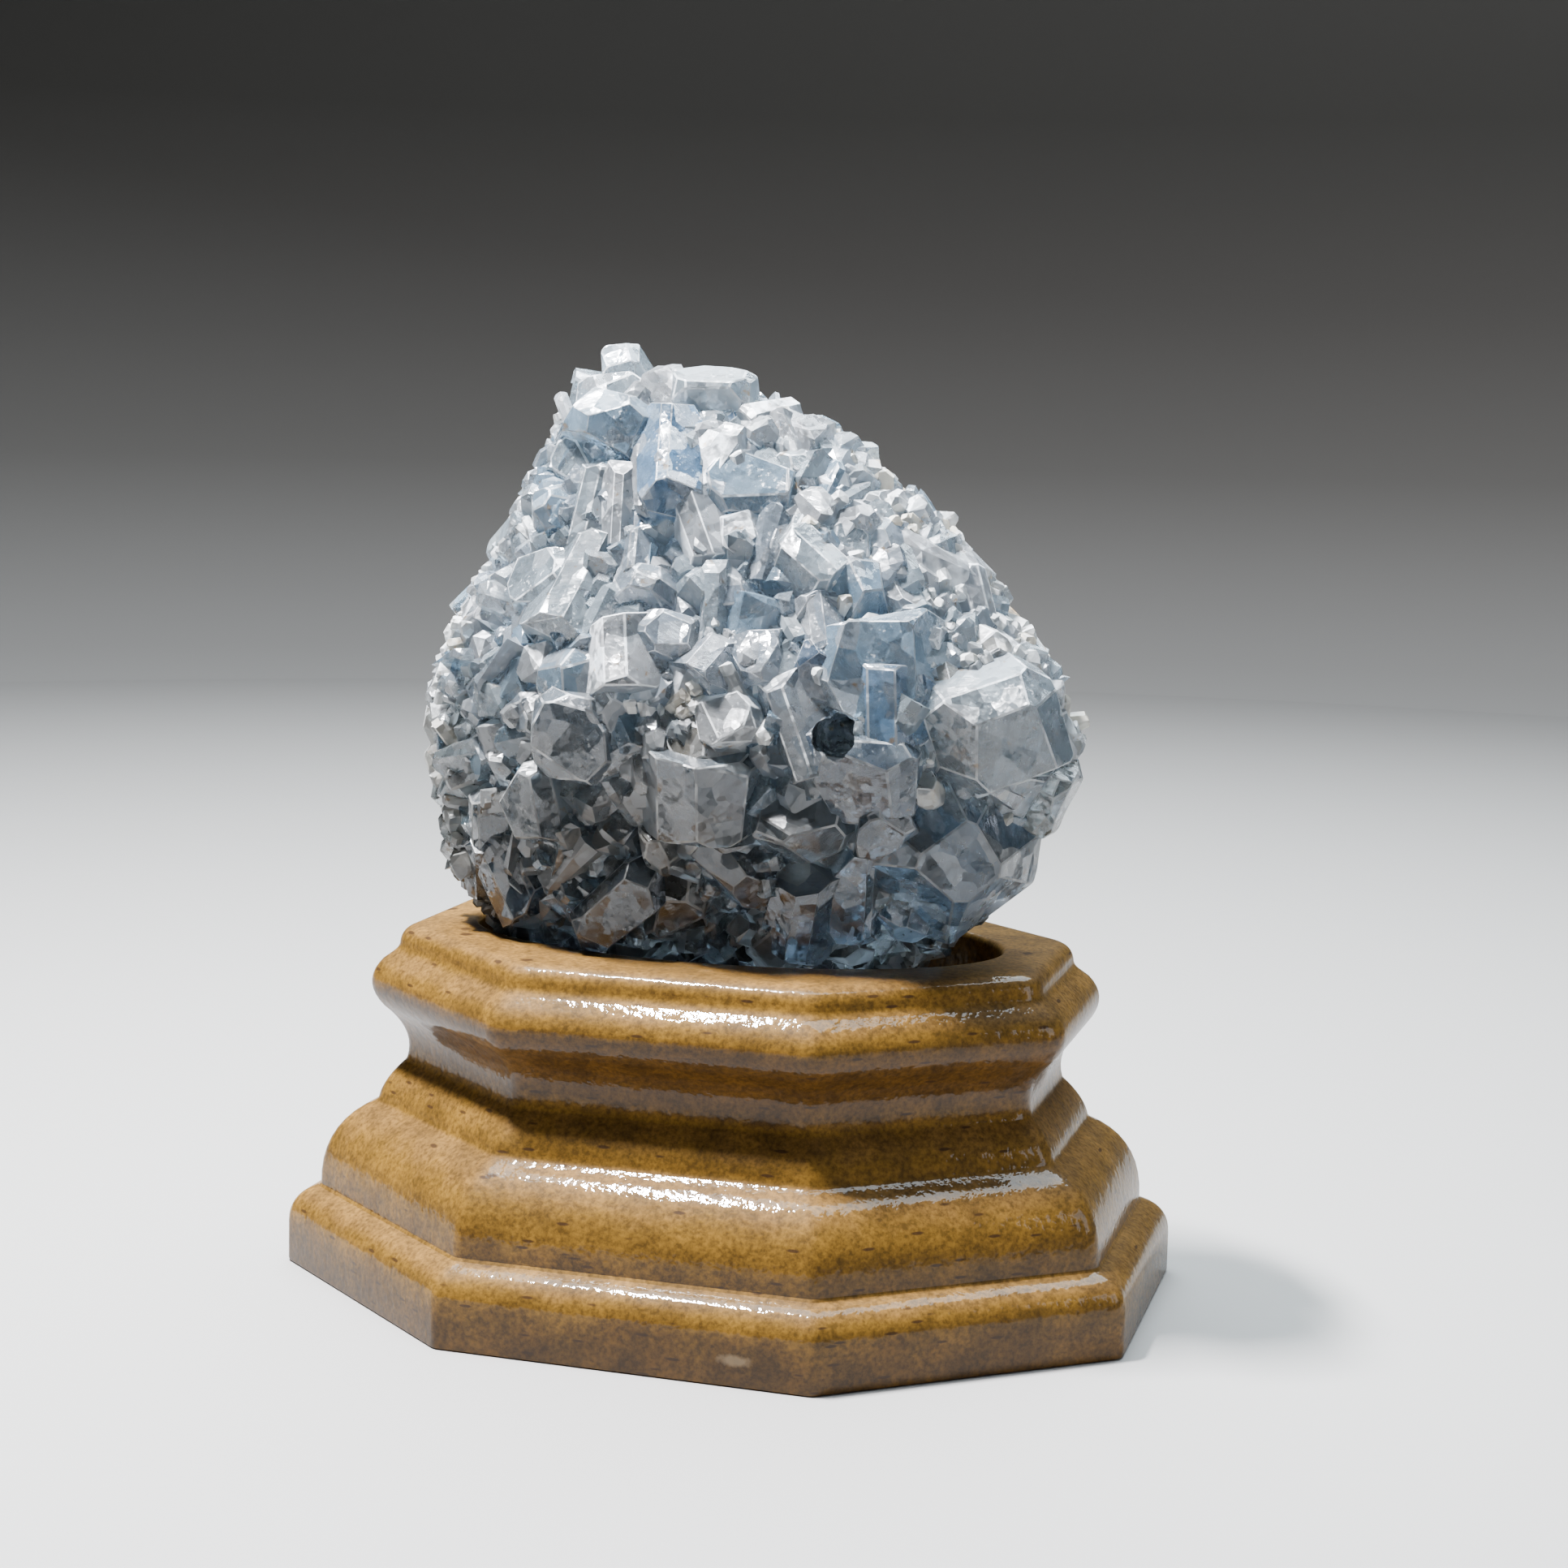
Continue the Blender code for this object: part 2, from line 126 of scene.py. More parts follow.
def loft(rings):
    bm = bmesh.new()
    rows = [[bm.verts.new(point) for point in ring] for ring in rings]
    for low, high in zip(rows, rows[1:]):
        for i in range(len(low)):
            j = (i + 1) % len(low)
            bm.faces.new((low[i], low[j], high[j], high[i]))
    bm.faces.new(reversed(rows[0]))
    bm.faces.new(rows[-1])
    return bm


def cut(obj, other, operation="DIFFERENCE", solver="MANIFOLD"):
    modifier = obj.modifiers.new(operation.title(), "BOOLEAN")
    modifier.operation = operation
    modifier.solver = solver
    modifier.object = other


def baked(obj, name):
    # the object with its modifiers applied, without the loose crumbs that cuts leave: its largest shell alone
    graph = bpy.context.evaluated_depsgraph_get()
    mesh = bpy.data.meshes.new_from_object(obj.evaluated_get(graph))
    mesh.name = name
    bpy.data.objects.remove(obj, do_unlink=True)
    bm = bmesh.new()
    bm.from_mesh(mesh)
    left = set(bm.faces)
    shells = []
    while left:
        grown = [left.pop()]
        for face in grown:
            near = {other for edge in face.edges for other in edge.link_faces} & left
            left -= near
            grown.extend(near)
        shells.append(grown)
    shells.sort(key=len)
    spare = [face for shell in shells[:-1] for face in shell]
    bmesh.ops.delete(bm, geom=spare, context="FACES")
    bm.to_mesh(mesh)
    bm.free()
    return linked(bpy.data.objects.new(name, mesh))


cutters = hidden("cutters")


# the plinth: an octagonal moulding of fibreboard with an oval recess

plinth = {
    "length": 130.0, "width": 101.0, "height": 52.6,
    "cornerCutX": 37.3, "cornerCutY": 29.1,
    "footCornerRadius": 2.0, "rimCornerRadius": 5.5, "cornerSteps": 8,
    "curveSteps": 9,
    "recessLength": 82.0, "recessWidth": 46.0, "recessDepth": 12.0, "recessRound": 1.0,
    "recessSides": 120, "recessTurns": (15, 30, 45, 60, 75, 90),
    "sharpFrom": math.radians(32), "seatReach": 90, "seatDepth": 25,
    "scuff": (16.7, -50.5, 3.9), "scuffSize": (2.7, 3.0, 0.9),
}
gap = 0.3  # kept between pieces that touch
specimenFoot = plinth["height"] - plinth["recessDepth"] + gap


def curvePoints(start, pull, end):
    a, b, c = Vector(start), Vector(pull), Vector(end)
    steps = plinth["curveSteps"]
    shares = [i / steps for i in range(steps + 1)]
    return [a * (1 - t) ** 2 + b * 2 * t * (1 - t) + c * t * t for t in shares]


def mouldingProfile():
    # the side from floor to rim as (inset, height)
    top = plinth["height"]
    foot = [Vector((0.4, 0.0)), Vector((0.1, 0.2)), Vector((0.0, 0.5))]
    foot += curvePoints((0, 6.4), (0, 10.6), (4.1, 11.8))
    step = curvePoints((4.4, 12.2), (4.2, 21.6), (11.8, 25.0))
    fillet = curvePoints((12.2, 25.5), (12.7, 28.2), (15.7, 31.2))
    cove = curvePoints((16.0, 31.6), (17.3, 36.2), (12.7, 40.2))
    lip = curvePoints((12.7, 40.2), (9.6, 43.9), (12.6, 47.2))[1:]
    crease = [Vector((14.0, 48.3)), Vector((14.5, 48.8)), Vector((14.75, 49.2))]
    rim = curvePoints((14.9, 49.6), (15.1, top), (18.2, top))
    return foot + step + fillet + cove + lip + crease + rim


def octagon(inset):
    x, y = plinth["length"] / 2, plinth["width"] / 2
    cutX, cutY = plinth["cornerCutX"], plinth["cornerCutY"]
    diagonal = math.hypot(cutX, cutY)
    frontX = x - cutX - inset * (diagonal - cutX) / cutY
    sideY = y - cutY - inset * (diagonal - cutY) / cutX
    x, y = x - inset, y - inset
    quarter = [Vector((x, sideY)), Vector((frontX, y))]
    half = quarter + [Vector((-p.x, p.y)) for p in reversed(quarter)]
    return half + [-p for p in half]


def roundedOutline(corners, radius):
    points = []
    steps = plinth["cornerSteps"]
    for i, corner in enumerate(corners):
        before = (corner - corners[i - 1]).normalized()
        after = (corners[(i + 1) % len(corners)] - corner).normalized()
        turn = math.acos(max(-1.0, min(1.0, before.dot(after))))
        inwards = Vector((-before.y, before.x))
        centre = corner - before * radius * math.tan(turn / 2) + inwards * radius
        for step in range(steps + 1):
            spoke = -inwards * radius
            spoke.rotate(Matrix.Rotation(turn * step / steps, 2))
            points.append(centre + spoke)
    return points


def ovalRing(grow, height):
    sides = plinth["recessSides"]
    turns = [2 * math.pi * i / sides for i in range(sides)]
    a, b = plinth["recessLength"] / 2 + grow, plinth["recessWidth"] / 2 + grow
    return [(a * math.cos(t), b * math.sin(t), height) for t in turns]


def recessForm(grow, floor, top):
    roundness = plinth["recessRound"]
    edge = top - roundness
    rings = [ovalRing(grow, floor), ovalRing(grow, edge)]
    for degrees in plinth["recessTurns"]:
        angle = math.radians(degrees)
        rings.append(ovalRing(grow + roundness * (1 - math.cos(angle)), edge + roundness * math.sin(angle)))
    rings.append(ovalRing(grow + roundness, top + 2))
    return loft(rings)


def makePlinth():
    rings = []
    for inset, height in mouldingProfile():
        share = height / plinth["height"]
        radius = plinth["footCornerRadius"] + (plinth["rimCornerRadius"] - plinth["footCornerRadius"]) * share
        rings.append([(p.x, p.y, height) for p in roundedOutline(octagon(inset), radius)])
    body = linked(meshObject("plinth_body", loft(rings)))
    recess = recessForm(0.0, plinth["height"] - plinth["recessDepth"], plinth["height"])
    cut(body, linked(meshObject("recess_cutter", recess), cutters))
    made = baked(body, "plinth_board")
    made.data.shade_smooth()
    made.data.set_sharp_from_angle(angle=plinth["sharpFrom"])
    return made


def makeSeat():
    # the plinth's top and recess as a cutter, which keeps the specimen clear of them
    rim = plinth["height"] + gap
    far = plinth["seatReach"]
    wide = [(x * far, y * far) for x, y in ((1, 1), (-1, 1), (-1, -1), (1, -1))]
    block = loft([[(x, y, z) for x, y in wide] for z in (specimenFoot - plinth["seatDepth"], rim)])
    seat = linked(meshObject("seat_cutter", block), cutters)
    hole = linked(meshObject("seat_hole", recessForm(-2 * gap, specimenFoot, rim)), cutters)
    cut(seat, hole)
    return seat


# the specimen's outline: height, left, right, front and back reach of the crystal tips

outlineRows = np.array((
    (specimenFoot, -33, 29, -15, 14),
    (52, -38, 32, -18, 17),
    (62, -45.5, 42, -24, 20),
    (74, -47, 48, -28, 22),
    (86, -48, 54, -30, 23),
    (96, -46, 49.5, -28, 22),
    (106, -40, 41, -24, 20),
    (116, -35, 33, -19, 18),
    (126, -31, 19, -14, 15),
    (134, -29, 4, -9, 11),
    (140, -24, -12, -4, 5),
), float)
outlinePower = 2.4  # 2 would be an ellipse, more is squarer


def reach(height):
    left, right, front, back = (np.interp(height, outlineRows[:, 0], outlineRows[:, i]) for i in range(1, 5))
    return (left + right) / 2, (right - left) / 2, -front, back


def outlinePoint(height, angle, inset, least=1.5):
    # angle 0 is to the right, a quarter turn is the back
    middle, half, front, back = reach(height)
    depth = back if math.sin(angle) > 0 else front
    half, depth = max(half - inset, least), max(depth - inset, least)
    c, s = math.cos(angle), math.sin(angle)
    bulge = (abs(c) ** outlinePower + abs(s) ** outlinePower) ** (-1 / outlinePower)
    return Vector((middle + half * c * bulge, depth * s * bulge, height))


def fullness(point):
    middle, half, front, back = reach(point.z)
    depth = back if point.y > 0 else front
    across, through = abs(point.x - middle) / half, abs(point.y) / depth
    return (across ** outlinePower + through ** outlinePower) ** (1 / outlinePower)


def frontSurface(x, z):
    middle, half, front, _ = reach(z)
    widest = 0.985
    across = min(abs(x - middle) / half, widest)
    return Vector((x, -front * (1 - across ** outlinePower) ** (1 / outlinePower), z))


def outwards(point):
    step = 1.5
    slope = Vector()
    for axis in range(3):
        move = Vector()
        move[axis] = step
        slope[axis] = fullness(point + move) - fullness(point - move)
    return slope.normalized()


# the geode's wall: rough rock that wraps the back of the crystals

wall = {
    "inset": 2.2, "thickness": 7.0, "edgeThickness": 3.5, "wrap": math.radians(9), "top": 134.5,
    "rows": 110, "steps": 150, "smoothSteps": 18, "sunk": 3, "wrapPerGrow": 0.05,
    "lump": 3.2, "lumpSize": 12.0, "lumpMiddle": 0.35, "grain": 0.9, "grainSize": 1.9, "grainMiddle": 0.6,
    "fade": 2.5, "seamWave": 0.09, "seamWaveSize": 11.0, "topWear": 3.0, "topWearFrom": 0.93,
    "clearanceReach": 14.0,
}


def seamShift(height, side):
    # how far, in radians, the crystals' ragged rim runs over or behind the wall's end
    size = wall["seamWaveSize"]
    wave = noise.noise(Vector((side * 7.3, 0.0, height / size)))
    ripple = noise.noise(Vector((side * 7.3, 4.0, 2.7 * height / size)))
    return wall["seamWave"] * (wave + 0.6 * ripple)


def wallForm(grow, outerGrow, rough):
    rows, steps = wall["rows"], wall["steps"] if rough else wall["smoothSteps"]
    foot = specimenFoot - wall["sunk"]
    spread = grow * wall["wrapPerGrow"]
    rings = []
    for row in range(rows):
        height = foot + (wall["top"] + 2 * grow - foot) * row / (rows - 1)
        outer, inner = [], []
        start = -wall["wrap"] - spread + seamShift(height, 1)
        end = math.pi + wall["wrap"] + spread - seamShift(height, -1)
        worn = max(0.0, row / (rows - 1) - wall["topWearFrom"]) / (1 - wall["topWearFrom"])
        for step in range(steps + 1):
            angle = start + (end - start) * step / steps
            middleShare = math.sin(math.pi * step / steps)
            thicker = (wall["thickness"] - wall["edgeThickness"]) * middleShare
            thickness = wall["edgeThickness"] + thicker + grow
            point = outlinePoint(height, angle, wall["inset"] - outerGrow)
            if rough:
                size, fineSize = wall["lumpSize"], wall["grainSize"]
                lumps = noise.noise(point / size) + 0.5 * noise.noise(point * 2.3 / size)
                grains = abs(noise.noise(point / fineSize)) + 0.5 * noise.noise(point * 2.6 / fineSize)
                faded = min(1.0, wall["fade"] * middleShare)
                raised = wall["lump"] * (lumps - wall["lumpMiddle"]) * faded
                push = outwards(point) * (raised + wall["grain"] * (grains - wall["grainMiddle"]) * faded)
                point += Vector((push.x, push.y, -wall["topWear"] * worn * (0.5 + lumps)))
            outer.append(point)
            inner.append(outlinePoint(height, angle, wall["inset"] + thickness, 1.5 - grow))
        rings.append(outer + inner[::-1])
    return loft(rings)


def makeWall(seat):
    made = linked(meshObject("wall_crescent", wallForm(0.0, 0.0, True)))
    cut(made, seat)
    form = wallForm(gap, wall["clearanceReach"], False)
    clearance = linked(tintedForm("wall_clearance", form, "grey"), cutters)
    return baked(made, "geode_rock"), clearance


# the crystals: one grown-together crust on a plain bed

crystals = {
    "bedDepth": 9.0, "bedTop": 131.0, "bedRows": 14, "bedSides": 30, "bedSunk": 3,
    "buried": 3.0, "lean": 0.3, "leanSeed": 7, "proudShare": 0.3, "proudFrom": 7.0,
    "cuts": 9, "edge": 0.2, "smallestEdge": 0.15, "relief": (-1.2, 1.8),
    "swell": 1.32, "heroSwell": 1.55, "heroFrom": 8.0, "heroAbove": 88.5, "heroBelow": 128.0,
    "fillerSeed": 23, "fillerCount": 24, "fillerSize": (4.5, 8.0), "fillerLength": 11.0, "fillerTop": 132,
    # fillers below paleAbove draw the low tints, darker, and those above draw the high tints, paler: painted
    # shade low down, painted light high up
    "fillerSunk": 2.0, "fillerEdgePull": 0.6, "fillerCuts": 7, "paleAbove": 95,
    "lowTints": ("grey", "pale", "blue", "dark"), "highTints": ("pale", "blue", "white"),
    "pocket": ((23.0, -25.0, 87.0), (3.6, 10.0, 3.0)), "pocketRagged": 0.35,
}
# colour and frost, of which a crystal's faces get a part and its rubbed edges more than all
tints = {
    "pale": ("#DAEDF9", 0.25), "blue": ("#B1D6F4", 0.12), "deep": ("#8DBEEE", 0.10),
    # the dark tint, given to crystals low on the druse, is partly their own colour and partly painted shade
    "white": ("#F6FAFF", 0.95), "grey": ("#CBDBEC", 0.20), "dark": ("#6E88A8", 0.15),
    "brown": ("#A3978A", 0.30), "cream": ("#F3EDE0", 0.95), "sugar": ("#FAFBF8", 1.6),
    # the hole tint is near black: painted shade on the faces of the pocket between crystals
    "creamSugar": ("#F0E6D0", 1.6), "hole": ("#10161C", 0.3),
}
# each habit's share of the farthest corner that its tip facets cut at
habits = {"chisel": (0.55, 0.85), "point": (0.22, 0.5), "chunk": (0.45, 0.8)}
facets = {
    "skew": 0.1, "taper": 0.05, "side": (0.94, 1.0), "corner": (0.74, 0.9),
    "roofTilt": (30, 52), "roof": (0.1, 0.4), "tipTilt": (28, 66), "tipScatter": 0.3,
    "shade": (0.84, 1.06), "hazes": (0.0, 0.0, 0.1, 0.2, 0.4), "frostShare": 0.4,
    "edgeColour": (0.95, 0.97, 1.0), "edgeShare": 0.75, "edgeFrost": 0.5,
}
# the ones that stand out, from the peak down: x and z of the tip, width, height, twist in degrees, tint
mainCrystals = (
    (-18, 138.5, 4.5, 4.5, 20, "pale"), (-22, 134, 11, 7, 12, "pale"), (-20, 129, 12, 8, -8, "blue"),
    (-24, 124, 6, 6, 40, "pale"), (-10.5, 134, 4, 6, 10, "white"), (-4, 135, 11, 5, -5, "pale"),
    (-7, 125, 6.5, 12.5, 8, "deep"), (-1.5, 124.5, 5, 9, -14, "white"), (0.5, 131, 4, 5, 25, "deep"),
    (6, 129, 7, 6, -20, "pale"), (5.5, 121.5, 8.5, 6, -4, "blue"), (-1.5, 115.5, 9, 8.5, 30, "white"),
    (-13.5, 118, 4, 8.5, 4, "white"), (-9, 116, 4, 4, 35, "deep"), (-19, 117, 6.5, 10.5, -6, "pale"),
    (-26, 117.5, 6, 6.5, 28, "blue"), (-18.5, 107, 8.5, 12, -12, "pale"), (-26, 107.5, 8, 6.5, 18, "pale"),
    (-25, 100.5, 8.5, 8, -26, "blue"), (-10, 111.5, 6.5, 5.5, 6, "grey"), (-7.5, 106.5, 7.5, 5, -10, "grey"),
    (5, 106.5, 8, 7.5, 32, "grey"), (-2.5, 100, 7, 5, -16, "grey"), (-9, 97, 11.5, 7, 10, "white"),
    (3.5, 97.5, 7.5, 5.5, -30, "grey"), (10, 98.5, 6, 7, 8, "grey"), (-19, 93, 8, 8.5, 14, "blue"),
    (-12, 90, 6, 6, -22, "grey"), (-26, 86.5, 8, 8, 34, "grey"), (-15.5, 84.5, 10, 10, -8, "grey"),
    (7, 90, 7, 7, 18, "white"), (0, 92.5, 7, 6.5, -14, "cream"), (2.5, 85, 11.5, 6, 6, "cream"),
    (0.5, 77.5, 14.5, 10, -6, "grey"), (-24, 73.5, 7.5, 10.5, 8, "grey"), (-33.5, 69.5, 5.5, 8, -12, "grey"),
    (-32.5, 61, 10, 11, 24, "dark"), (-3.5, 69, 4, 7.5, 16, "brown"), (-10.5, 60.5, 17.5, 6, 42, "dark"),
    (-2.5, 59.5, 12, 10.5, -20, "brown"), (28, 97, 12, 9, 12, "blue"), (20.5, 95.5, 7, 6.5, -24, "dark"),
    (28.5, 91, 10, 8.5, 4, "deep"), (16.5, 88, 9, 12, 22, "grey"), (25.5, 81, 13, 10, -8, "dark"),
    (19.5, 72, 11.5, 11, 30, "grey"), (29, 72.5, 6.5, 8, -14, "dark"), (38, 70.5, 18.5, 21, 38, "deep"),
    (45, 86, 15, 14.5, 20, "pale"), (46, 77, 11, 8, -10, "pale"), (34.5, 79, 4, 9, 36, "cream"),
    (9.5, 64, 11.5, 10.5, 14, "dark"), (17.5, 60.5, 9, 11.5, -10, "dark"), (25.5, 63.5, 7, 11, 6, "deep"),
    (31, 59, 9, 6.5, -28, "deep"), (23.5, 53.5, 11.5, 5, 4, "grey"), (12, 55.5, 9.5, 7, 18, "brown"),
    (38.5, 96, 7, 7, -18, "cream"), (12, 124, 5, 5, 26, "pale"), (11, 120.5, 6, 7, -12, "pale"),
    (21, 113, 4.5, 7, 8, "pale"), (24.5, 108, 7.5, 10, -6, "blue"), (17, 112, 6, 7.5, 30, "pale"),
    (13, 113.5, 5.5, 7.5, -20, "pale"), (18, 102.5, 7.5, 7, 16, "grey"), (27.5, 114.5, 5.5, 5.5, -32, "grey"),
    (25.5, 120, 7.5, 4, 10, "white"), (31, 108, 6.5, 7, 22, "white"), (39, 106, 5, 7.5, -8, "white"),
    (33.5, 101, 5, 5, 28, "white"), (42, 99.5, 6, 5, -16, "cream"), (45.5, 98.5, 7, 7.5, 12, "white"),
    (50.5, 91, 6, 6, 10, "white"), (53, 84.5, 7, 6.5, -20, "white"), (50.5, 77.5, 8, 8, 24, "pale"),
    (43, 66, 8, 8, -12, "deep"), (-45, 92, 6, 5, 16, "white"), (-47, 84, 5.5, 6, -24, "cream"),
    (-46.5, 75.5, 6, 6.5, 30, "cream"), (-45.5, 66, 6.5, 7, -10, "grey"), (-41, 58, 8, 7.5, 12, "grey"),
    (-41.5, 102, 6, 5, -18, "white"), (-36.5, 112, 5.5, 5, 22, "white"),
)


def gemPlanes(width, height, length, rng, cuts):
    # a blocky crystal grown along +Z with its tip at 0, as planes (normal, distance)
    halfW, halfH = width / 2, height / 2
    planes = [((0, 0, 1), 0.0), ((0, 0, -1), length)]
    skew, taper = facets["skew"], facets["taper"]
    for side in (-1, 1):
        planes.append(((side, rng.uniform(-skew, skew), taper), halfW * rng.uniform(*facets["side"])))
        planes.append(((rng.uniform(-skew, skew), side, taper), halfH * rng.uniform(*facets["side"])))
        for other in (-1, 1):
            normal = Vector((side * halfH, other * halfW, 0)).normalized()
            corner = normal.dot(Vector((side * halfW, other * halfH, 0)))
            planes.append((tuple(normal), corner * rng.uniform(*facets["corner"])))
    habit = rng.choice(tuple(habits))
    if habit == "chisel":
        # two broad roof facets that meet in a ridge
        for side in (-1, 1):
            tilt = math.radians(rng.uniform(*facets["roofTilt"]))
            normal = side * math.sin(tilt), 0, math.cos(tilt)
            planes.append((normal, halfW * math.sin(tilt) * rng.uniform(*facets["roof"])))
    scatter = facets["tipScatter"]
    for index in range(cuts):
        turn = 2 * math.pi * (index + rng.uniform(-scatter, scatter)) / cuts
        tilt = math.radians(rng.uniform(*facets["tipTilt"]))
        normal = Vector((math.cos(turn) * math.sin(tilt), math.sin(turn) * math.sin(tilt), math.cos(tilt)))
        farthest = abs(normal.x) * halfW + abs(normal.y) * halfH
        planes.append((tuple(normal), farthest * rng.uniform(*habits[habit])))
    return planes


def planeCorners(planes):
    # every point where three planes meet and that no other plane cuts off
    normals = np.array([plane[0] for plane in planes], float)
    distances = np.array([plane[1] for plane in planes], float)
    triples = np.array(list(itertools.combinations(range(len(planes)), 3)))
    square = normals[triples]
    solvable = np.abs(np.linalg.det(square)) > 1e-4
    triples, square = triples[solvable], square[solvable]
    points = np.linalg.solve(square, distances[triples][..., None])[..., 0]
    inside = (points @ normals.T <= distances + 1e-6).all(axis=1)
    return np.unique(np.round(points[inside], 3), axis=0)


def gem(width, height, length, rng, cuts, tint, edge):
    # hull of the corners; with an edge size, each edge gets a narrow rubbed facet that catches the light
    bm = bmesh.new()
    colour = bm.faces.layers.float_color.new("tint")
    for point in planeCorners(gemPlanes(width, height, length, rng, cuts)):
        bm.verts.new(point)
    bmesh.ops.remove_doubles(bm, verts=bm.verts, dist=crystals["smallestEdge"])
    bmesh.ops.convex_hull(bm, input=bm.verts)
    bmesh.ops.dissolve_limit(bm, angle_limit=math.radians(0.5), verts=bm.verts, edges=bm.edges)
    hexColour, frost = tints[tint]
    base = Vector(toLinear(hexColour)[:3])
    for face in bm.faces:
        shade = base * rng.uniform(*facets["shade"])
        haze = rng.choice(facets["hazes"])  # some faces stay glossy, others are etched dull
        face[colour] = (*shade, min(1.0, frost * facets["frostShare"] + haze))
    if edge:
        made = bmesh.ops.bevel(bm, geom=bm.edges[:], offset=edge, segments=1, affect="EDGES",
                               clamp_overlap=True)
        pale = base.lerp(Vector(facets["edgeColour"]), facets["edgeShare"])
        for face in made["faces"]:
            face[colour] = (*pale, min(1.0, frost + facets["edgeFrost"]))
    return bm


def placed(bm, tip, direction, twist):
    # the crystal's tip at a point, its long axis along a direction
    forwards = direction.normalized()
    level = Vector((0, 0, 1)).cross(forwards)
    if level.length < 0.1:
        level = Vector((1, 0, 0))
    level.normalize()
    turned = Matrix((level, forwards.cross(level), forwards)).transposed()
    turned = turned @ Matrix.Rotation(twist, 3, "Z")
    bmesh.ops.transform(bm, matrix=Matrix.Translation(tip) @ turned.to_4x4(), verts=bm.verts)
    return bm


def growGem(name, x, z, size, length, twist, proud, rng, growths, cuts, tint):
    surface = frontSurface(x, z)
    lean = Vector([rng.uniform(-1, 1) * crystals["lean"] for _ in range(3)])
    direction = (outwards(surface) + lean).normalized()
    shape = random.Random(name)
    bm = gem(*size, length + proud, shape, cuts, tint, crystals["edge"])
    linked(meshObject(name, placed(bm, surface + direction * proud, direction, twist)), growths)


def tintedForm(name, bm, tint):
    # a helper solid whose faces carry the colour that a cut or the bed shows
    colour = bm.faces.layers.float_color.new("tint")
    hexColour, frost = tints[tint]
    for face in bm.faces:
        face[colour] = (*toLinear(hexColour)[:3], frost)
    return meshObject(name, bm)


def pocketForm(centre, radii):
    # a small ragged hole between crystals
    bm = bmesh.new()
    bmesh.ops.create_icosphere(bm, subdivisions=3, radius=1.0)
    for vert in bm.verts:
        ragged = 1 + crystals["pocketRagged"] * noise.noise(vert.co * 1.7)
        vert.co = Vector(centre) + Vector([v * r * ragged for v, r in zip(vert.co, radii)])
    return bm


def bedForm():
    rows, sides, sunk = crystals["bedRows"], crystals["bedSides"], crystals["bedSunk"]
    rings = []
    for row in range(rows):
        height = specimenFoot - sunk + (crystals["bedTop"] - specimenFoot + sunk) * row / (rows - 1)
        turns = [2 * math.pi * i / sides for i in range(sides)]
        rings.append([outlinePoint(height, turn, crystals["bedDepth"]) for turn in turns])
    return loft(rings)


def makeMainGrowths(growths):
    rng = random.Random(crystals["leanSeed"])
    length = crystals["bedDepth"] + crystals["buried"]
    for index, (x, z, width, height, twist, tint) in enumerate(mainCrystals):
        largest = max(width, height)
        proud = max(0.0, crystals["proudShare"] * (largest - crystals["proudFrom"]))
        relief = random.Random(index).uniform(*crystals["relief"])
        hero = largest >= crystals["heroFrom"] and crystals["heroAbove"] < z < crystals["heroBelow"]
        swell = crystals["heroSwell"] if hero else crystals["swell"]
        size = width * swell, height * swell
        growGem(f"main_{index:02d}", x, z, size, length, math.radians(twist), proud + relief, rng, growths,
                crystals["cuts"], tint)
    rng = random.Random(crystals["fillerSeed"])
    length = crystals["fillerLength"] + crystals["fillerSunk"]
    for index in range(crystals["fillerCount"]):
        z = rng.uniform(specimenFoot + 1, crystals["fillerTop"])
        middle, half, _, _ = reach(z)
        across = rng.uniform(-1, 1)
        x = middle + half * math.copysign(abs(across) ** crystals["fillerEdgePull"], across)
        size = rng.uniform(*crystals["fillerSize"]), rng.uniform(*crystals["fillerSize"])
        twist = rng.uniform(0, math.pi)
        # painted shade and light: low fillers take darker tints, high ones paler
        fitting = crystals["lowTints"] if z < crystals["paleAbove"] else crystals["highTints"]
        tint = random.Random(index).choice(fitting)
        growGem(f"filler_{index:02d}", x, z, size, length, twist, -crystals["fillerSunk"], rng, growths,
                crystals["fillerCuts"], tint)


# small crystals between the big ones, seeded on a surface inside the tips and grown into one solid with them

seeds = {
    "small": {"inset": 4.8, "spacing": 4.0, "seed": 5, "smallest": 4.0, "largest": 8.0, "lean": 0.8,
              "tints": ("grey", "pale", "blue", "white"), "cuts": 6, "flattest": 0.7},
    "flake": {"inset": 1.6, "spacing": 3.0, "seed": 3, "smallest": 2.0, "largest": 5.5, "lean": 1.5,
              "tints": ("grey", "pale", "white", "blue"), "cuts": 5, "flattest": 0.3},
    "crust": {"inset": 0.9, "spacing": 1.6, "seed": 11, "smallest": 1.1, "largest": 2.9, "lean": 1.1,
              "tints": ("sugar", "sugar", "creamSugar", "white"), "cuts": 4, "flattest": 0.7},
    # the shapes' sizes are shares of the size that each crystal draws; densest is points per square metre
    "variants": 12, "length": 2.2, "narrowest": 0.7, "proud": 0.6, "densest": 4.0e6,
    "top": 133.0, "rows": 60, "sides": 70, "start": 0.94 * math.pi, "sweep": 1.12 * math.pi,
    "edgeFrom": 0.82, "edgeFade": 0.12, "shoulder": (33, 106, 150, 160), "patch": (1, 90, 60, 60),
}


def makeVariants(kind, sizes):
    # the shapes that one kind of small crystal is picked from
    name = f"{kind}_kind"
    collection = hidden(name)
    rng = random.Random(name)
    for index in range(seeds["variants"]):
        size = rng.uniform(seeds["narrowest"], 1.0), rng.uniform(sizes["flattest"], 1.0)
        tint = sizes["tints"][index % len(sizes["tints"])]
        bm = gem(*size, seeds["length"], rng, sizes["cuts"], tint, 0)
        bmesh.ops.translate(bm, vec=(0, 0, seeds["proud"]), verts=bm.verts)
        linked(meshObject(f"{name}_{index:02d}", bm), collection)
    return collection


